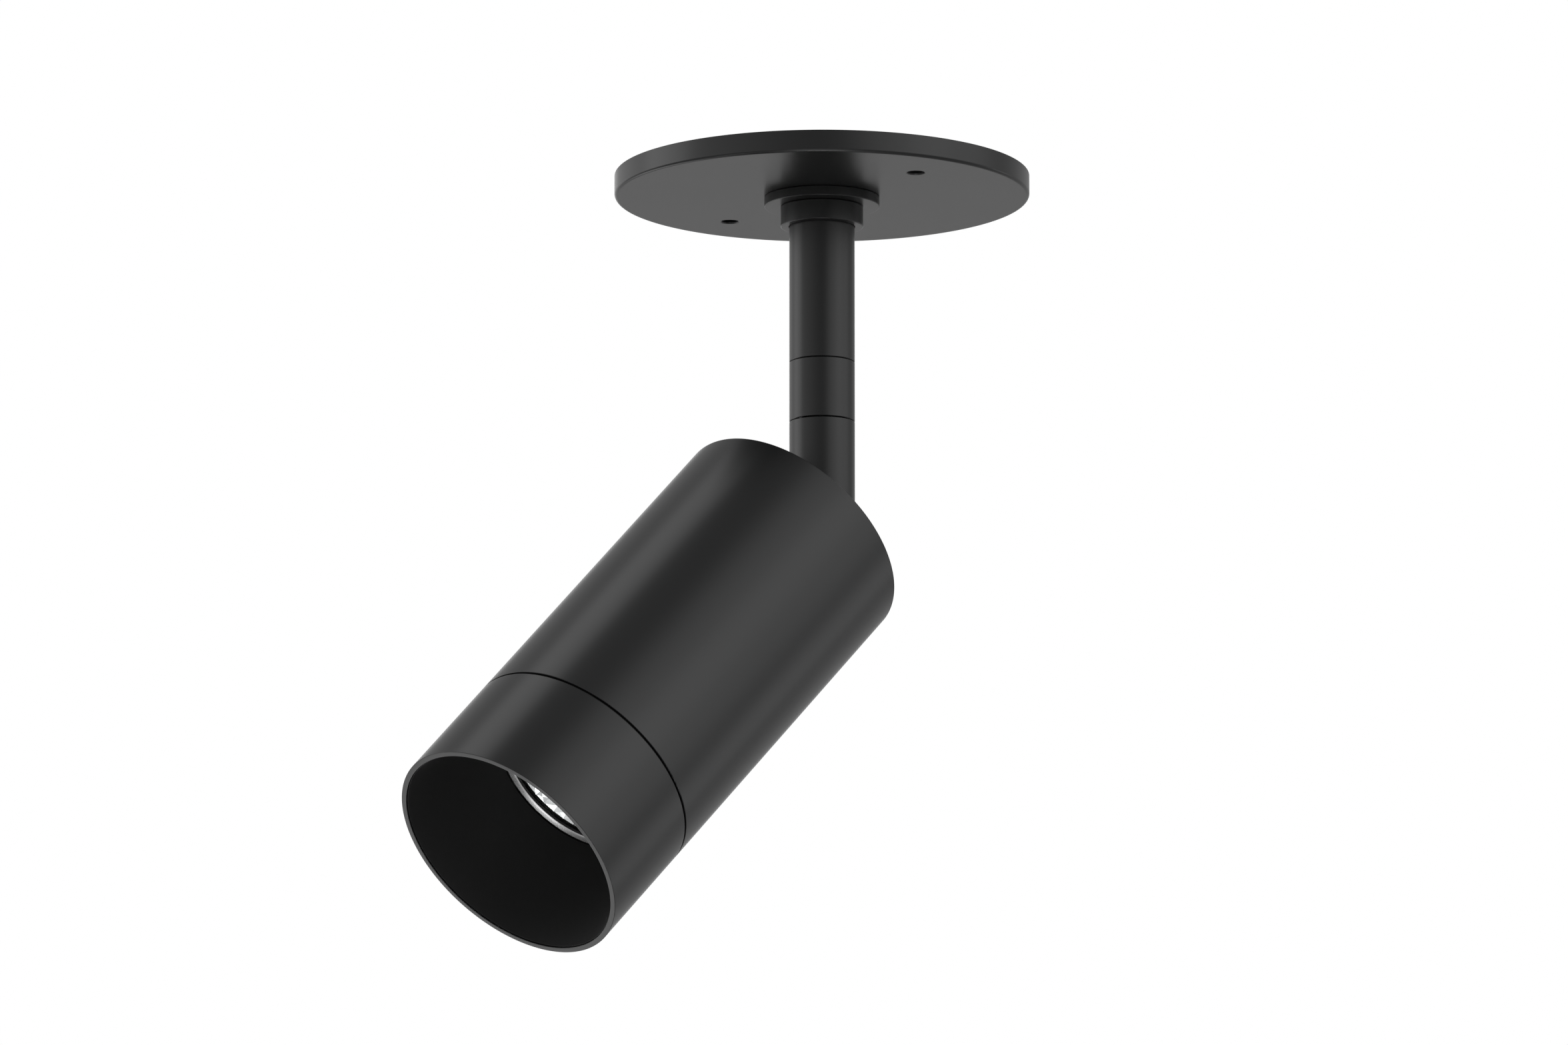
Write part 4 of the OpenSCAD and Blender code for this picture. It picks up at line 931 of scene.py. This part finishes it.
lens_start, lens_end, _, lens_r = reach("lens", HEAD)
lens = turned("lens_disc", [
    (0, lens_start), (lens_r - 0.3, lens_start), (lens_r, lens_start + 0.3),
    (lens_r, lens_end - 0.3), (lens_r - 0.3, lens_end), (0, lens_end)])
settle(lens, "lens", lens_glass, HEAD)

# %% Spin the mirror bowl and raise its facets
bowl_start, bowl_end, _, bowl_r = reach("reflector", HEAD)
THROAT_R, MOUTH, FACET_RISE = 8.6, bowl_r - 0.15, 0.3
ROWS, COLUMNS, NECK_R, FLARE, ROUNDNESS = 10, 40, 19.9, 3.0, 0.62
neck = bowl_end - FLARE
bowl = [(THROAT_R + (NECK_R - THROAT_R) * (i / ROWS) ** ROUNDNESS,
         bowl_start + (neck - bowl_start) * i / ROWS) for i in range(ROWS + 1)]
bowl += [((NECK_R + MOUTH) / 2, neck + FLARE / 2), (MOUTH, bowl_end)]
back = [(min(r + 1.0, bowl_r), z) for r, z in reversed(bowl)]
mirror = turned("mirror_bowl", bowl + back, steps=COLUMNS)
for face in mirror.data.polygons:
    outwards = Vector((face.center.x, face.center.y, 0)).normalized()
    face.select = face.normal.dot(outwards) < -0.2
for item in list(mirror.data.edges) + list(mirror.data.vertices):
    item.select = False
only(mirror)
bpy.ops.object.mode_set(mode="EDIT")
bpy.ops.mesh.poke(offset=FACET_RISE * MM)
take_over(on(rename("mirror_bowl"), HEAD), "reflector", mirror_coat)

# %% [markdown]
# ## The light source
#
# A small white board carries the yellow phosphor disc, clamped by a white plastic frame on the heat
# sink. The disc is gel with straight sides and a shallow dome. The board's two solder pads are what
# a fitter looks for, so they are there, although only someone who takes the lens out sees them.

# %% The phosphor dome and the board
gel_start, gel_end, _, gel_r = reach("led_emitter", HEAD)
DOME_RISE = 0.22
dome = [(gel_r * s, gel_end - DOME_RISE * s**2) for s in [i / 10 for i in range(9, -1, -1)]]
gel_shape = [(0, gel_start), (gel_r, gel_start), (gel_r, gel_end - DOME_RISE), *dome]
settle(turned("phosphor_dome", gel_shape, steps=128), "led_emitter", phosphor, HEAD)

board_start, board_end = reach("led_board", HEAD)[:2]
BOARD_HALF, PAD_X = 9.5, 7.9
board = block("board", (-BOARD_HALF, -BOARD_HALF, board_start), (BOARD_HALF, BOARD_HALF, board_end))
soften(board, 0.15, 2)
board.data.materials.append(white_board)
pads = []
for x in (-PAD_X, PAD_X):
    pad = rod("solder", 1.1, (x, x, board_end - 0.05), (x, x, board_end + 0.08), 32)
    pads.append(soften(pad, 0.06, 2))
    pad.data.materials.append(zinc_plate)
take_over(on(joined("led_board_white", board, *pads), HEAD), "led_board")

# %% The holder with its flared window
holder_start, holder_end, _, holder_r = reach("led_holder", HEAD)
holder = turned("holder", [
    (0, holder_start), (holder_r, holder_start), (holder_r, holder_end - 0.8),
    (holder_r - 0.8, holder_end), (0, holder_end)], steps=128)
bevelled(holder, 0.2, 2, 35)
window = turned("window", [
    (0, board_end - 1), (gel_r + 0.4, board_end - 1), (gel_r + 0.4, board_end + 0.1),
    (THROAT_R, holder_end), (THROAT_R, holder_end + 1), (0, holder_end + 1)], steps=128)
cut(holder, block("nest", (-9.65, -9.65, holder_start - 1), (9.65, 9.65, board_end + 0.1)), window)
HOLDER_SCREW_X, WIRE_X, SEAT_DEPTH = 13.2, 9, 2.0
for side in (-1, 1):
    x, wire = side * HOLDER_SCREW_X, side * WIRE_X
    cut(holder, rod("clearance", 1.4, (x, 0, holder_start - 1), (x, 0, holder_end + 1), 40),
        rod("head_seat", 2.4, (x, 0, holder_end - SEAT_DEPTH), (x, 0, holder_end + 1), 48),
        block("wire_slot", (wire - 1.2, -17.5, holder_start + 1.2),
              (wire + 1.2, -13, holder_end - 0.8)))
settle(holder, "led_holder", white_holder, HEAD)
m2_5 = socket_screw("m2_5", 2.5, 6.9, 0.45)
screws_in_head("holder_screws_m2_5", m2_5, both_sides(HOLDER_SCREW_X), holder_end - SEAT_DEPTH,
               "led_holder_screws", turn=0)

# %% Screws of the lens cell and of the driver
CELL_SCREW_R, DRIVER_SCREW_X = 29.65, 18.0
cell_spots = [(CELL_SCREW_R * cos(t + pi), CELL_SCREW_R * sin(t + pi)) for t in TIE_TURNS]
m2 = socket_screw("m2", 2.0, 6.7, 0.4)
screws_in_head("cell_screws_m2", m2, cell_spots, ring_start + 2, "lens_cell_screws", turn=0)
m3 = socket_screw("m3", 3.0, 6.2)
bracket_end = reach("driver_bracket", HEAD)[1]
screws_in_head("driver_screws_m3", m3, both_sides(DRIVER_SCREW_X), bracket_end, "driver_screws",
               turn=0)

# %% Parts of the chassis whose plain shape is right
for node, material in {"rear_tie_rods": zinc_plate, "front_tie_rods": zinc_plate,
                       "driver_bracket": zinc_plate, "driver_case": white_case,
                       "terminal_block": white_holder, "heat_sink": sink_metal,
                       "thermal_pad": grey_pad, "lens_cell": dull_black,
                       "o_ring": black_rubber}.items():
    keep(node, material)

# %% [markdown]
# ## The studio
#
# A black object is mostly what it reflects. This studio is a dim room with a few soft patches of
# light, and the patches draw the bands on the stem and the barrel: a broad one from the left, a
# smaller one from the right, one high up, and the backdrop. Each patch is a direction with a soft
# edge in the world's shader, which costs no render time and leaves no grain. Soft boxes then give
# the small edges a clean light, because lamps are sharper than patches.

# %% The room as a world, with soft patches of light
ROOM_LEVEL = 0.12
PATCHES = (("left", -127, -40, 31, 101, 1.18), ("right", 22, 20, 7, 57, 1.7),
           ("backdrop", 145, 9, 13, 16, 1.12), ("high", -139, 62, 15, 19, 2.0))
GLOSSY_SHARE, WHITE = 0.38, (1, 1, 1, 1)


def away(azimuth, elevation):
    """The direction at an azimuth and an elevation in degrees."""
    azimuth, elevation = radians(azimuth), radians(elevation)
    return Vector((cos(elevation) * cos(azimuth), cos(elevation) * sin(azimuth), sin(elevation)))


def add_patch(tree, looking, total, azimuth, elevation, core, rim, level):
    """Adds a patch of light to a running total. It is full out to its core and gone at its rim."""
    pair = {0: looking, 1: away(azimuth, elevation)}
    facing = add(tree, "VectorMath", pair, "Value", operation="DOT_PRODUCT")
    edge = {"From Min": cos(radians(rim)), "From Max": cos(radians(core)), "To Max": level}
    edge["Value"] = facing
    falloff = add(tree, "MapRange", edge, "Result", interpolation_type="SMOOTHERSTEP")
    return add(tree, "Math", {0: total, 1: falloff}, operation="ADD")


world = bpy.data.worlds.new("studio")
bpy.context.scene.world = world
world.use_nodes = True
room = world.node_tree
looking = add(room, "TexCoord", out="Generated")
light = ROOM_LEVEL
for _, *patch in PATCHES:
    light = add_patch(room, looking, light, *patch)
background = room.nodes["Background"]
feed(room, background.inputs["Color"], WHITE)
feed(room, background.inputs["Strength"], light)
print("patches of light:", ", ".join(patch[0] for patch in PATCHES))

# %% [markdown]
# The camera sees the background as plain white, and so do rays that pass through the lens. Glossy
# rays see it as well, but as if through a dark scrim: a good third of the white is mixed into the
# room, because a whole white room in the satin coat would wipe its dark bands away.

# %% White for the camera and the glass, and a share of it for gloss


def mixed(tree, surface, plain, white, glossy_share, share=1):
    """Puts a share of white over a plain shader for camera and lens rays, and less for gloss."""
    rays = tree.nodes.new("ShaderNodeLightPath").outputs
    seen = 0
    parts = {"Is Glossy Ray": glossy_share, "Is Transmission Ray": 1, "Is Camera Ray": 1}
    for ray, part in parts.items():
        terms = {0: rays[ray], 1: part, 2: seen}
        seen = add(tree, "Math", terms, operation="MULTIPLY_ADD", use_clamp=True)
    whole = add(tree, "Math", {0: seen, 1: share}, operation="MULTIPLY")
    feed(tree, surface, add(tree, "MixShader", {"Fac": whole, 1: plain, 2: white}))


white = add(room, "Background", {"Color": WHITE, "Strength": 1.0})
mixed(room, room.nodes["World Output"].inputs["Surface"], background.outputs["Background"], white,
      GLOSSY_SHARE)

# %% [markdown]
# Seven soft boxes stand round the spotlight. Left and right belong to the side patches. Low stands
# where the snoot's rim mirrors it, side and front light the barrel's right edge and the plate's
# rim, mouth reaches the bezel past the snoot's rim, and below draws the thin line on the plate's
# lower edge. Far below lies a pale floor, which sends a little light back up. For the camera it
# has a share of white too, and the share grows to the whole with distance, so that no horizon
# shows in a view from above.

# %% Soft boxes and the floor


def soft_box(name, azimuth, elevation, distance, size, brightness):
    """A square area light that looks at the spotlight. Its power follows from how bright it looks."""
    deselect()
    direction = away(azimuth, elevation)
    turn = direction.to_track_quat("Z", "Y").to_euler()
    bpy.ops.object.light_add(type="AREA", location=AIM + direction * distance, rotation=turn)
    lamp = bpy.context.object
    lamp.name = name
    lamp.data.shape, lamp.data.size = "SQUARE", size
    lamp.data.energy = brightness * pi * size**2
    lamp.visible_camera = False


# Azimuth and elevation in degrees, distance and size in metres, and brightness
SOFT_BOXES = (("left", -135, 10, 2.0, 1.18, 1.08), ("right", 22, 22, 2.4, 1.02, 0.46),
              ("low", -174, -39, 1.6, 0.9, 1.4), ("side", 74, -9, 2.5, 0.9, 0.64),
              ("front", -41, -34, 2.2, 1.05, 1.3), ("mouth", -107, -49, 1.6, 0.4, 1.8),
              ("below", -40, -74, 1.6, 0.5, 5.5))
for title, *settings in SOFT_BOXES:
    soft_box("soft_box_" + title, *settings)

FLOOR_Z, FLOOR_SIZE = -3.45, 54.0
FLOOR_WHITE, FLOOR_GLOSSY = 0.6, 0.07
FADE = {"From Min": 7.0, "From Max": 13.0, "To Min": FLOOR_WHITE, "To Max": 1.0}
deselect()
bpy.ops.mesh.primitive_plane_add(size=FLOOR_SIZE, location=(0, 0, FLOOR_Z))
floor = apply_place(rename("floor"))
floor_paint = finish_of("pale_floor", ((0.62,) * 3, (0.65,) * 3), (0.6, 0.8), [clouds(3)])
floor.data.materials.append(floor_paint)
paint = floor_paint.node_tree
spot = add(paint, "TexCoord", out="Object")
distance = add(paint, "VectorMath", {0: spot}, "Value", operation="LENGTH")
fade = {"Value": distance, **FADE}
fade = add(paint, "MapRange", fade, "Result", interpolation_type="SMOOTHSTEP")
glow = add(paint, "Emission", {"Strength": 1.0})
mixed(paint, paint.nodes["Material Output"].inputs["Surface"],
      paint.nodes["Principled BSDF"].outputs["BSDF"], glow, FLOOR_GLOSSY, fade)
print("floor at", FLOOR_Z)
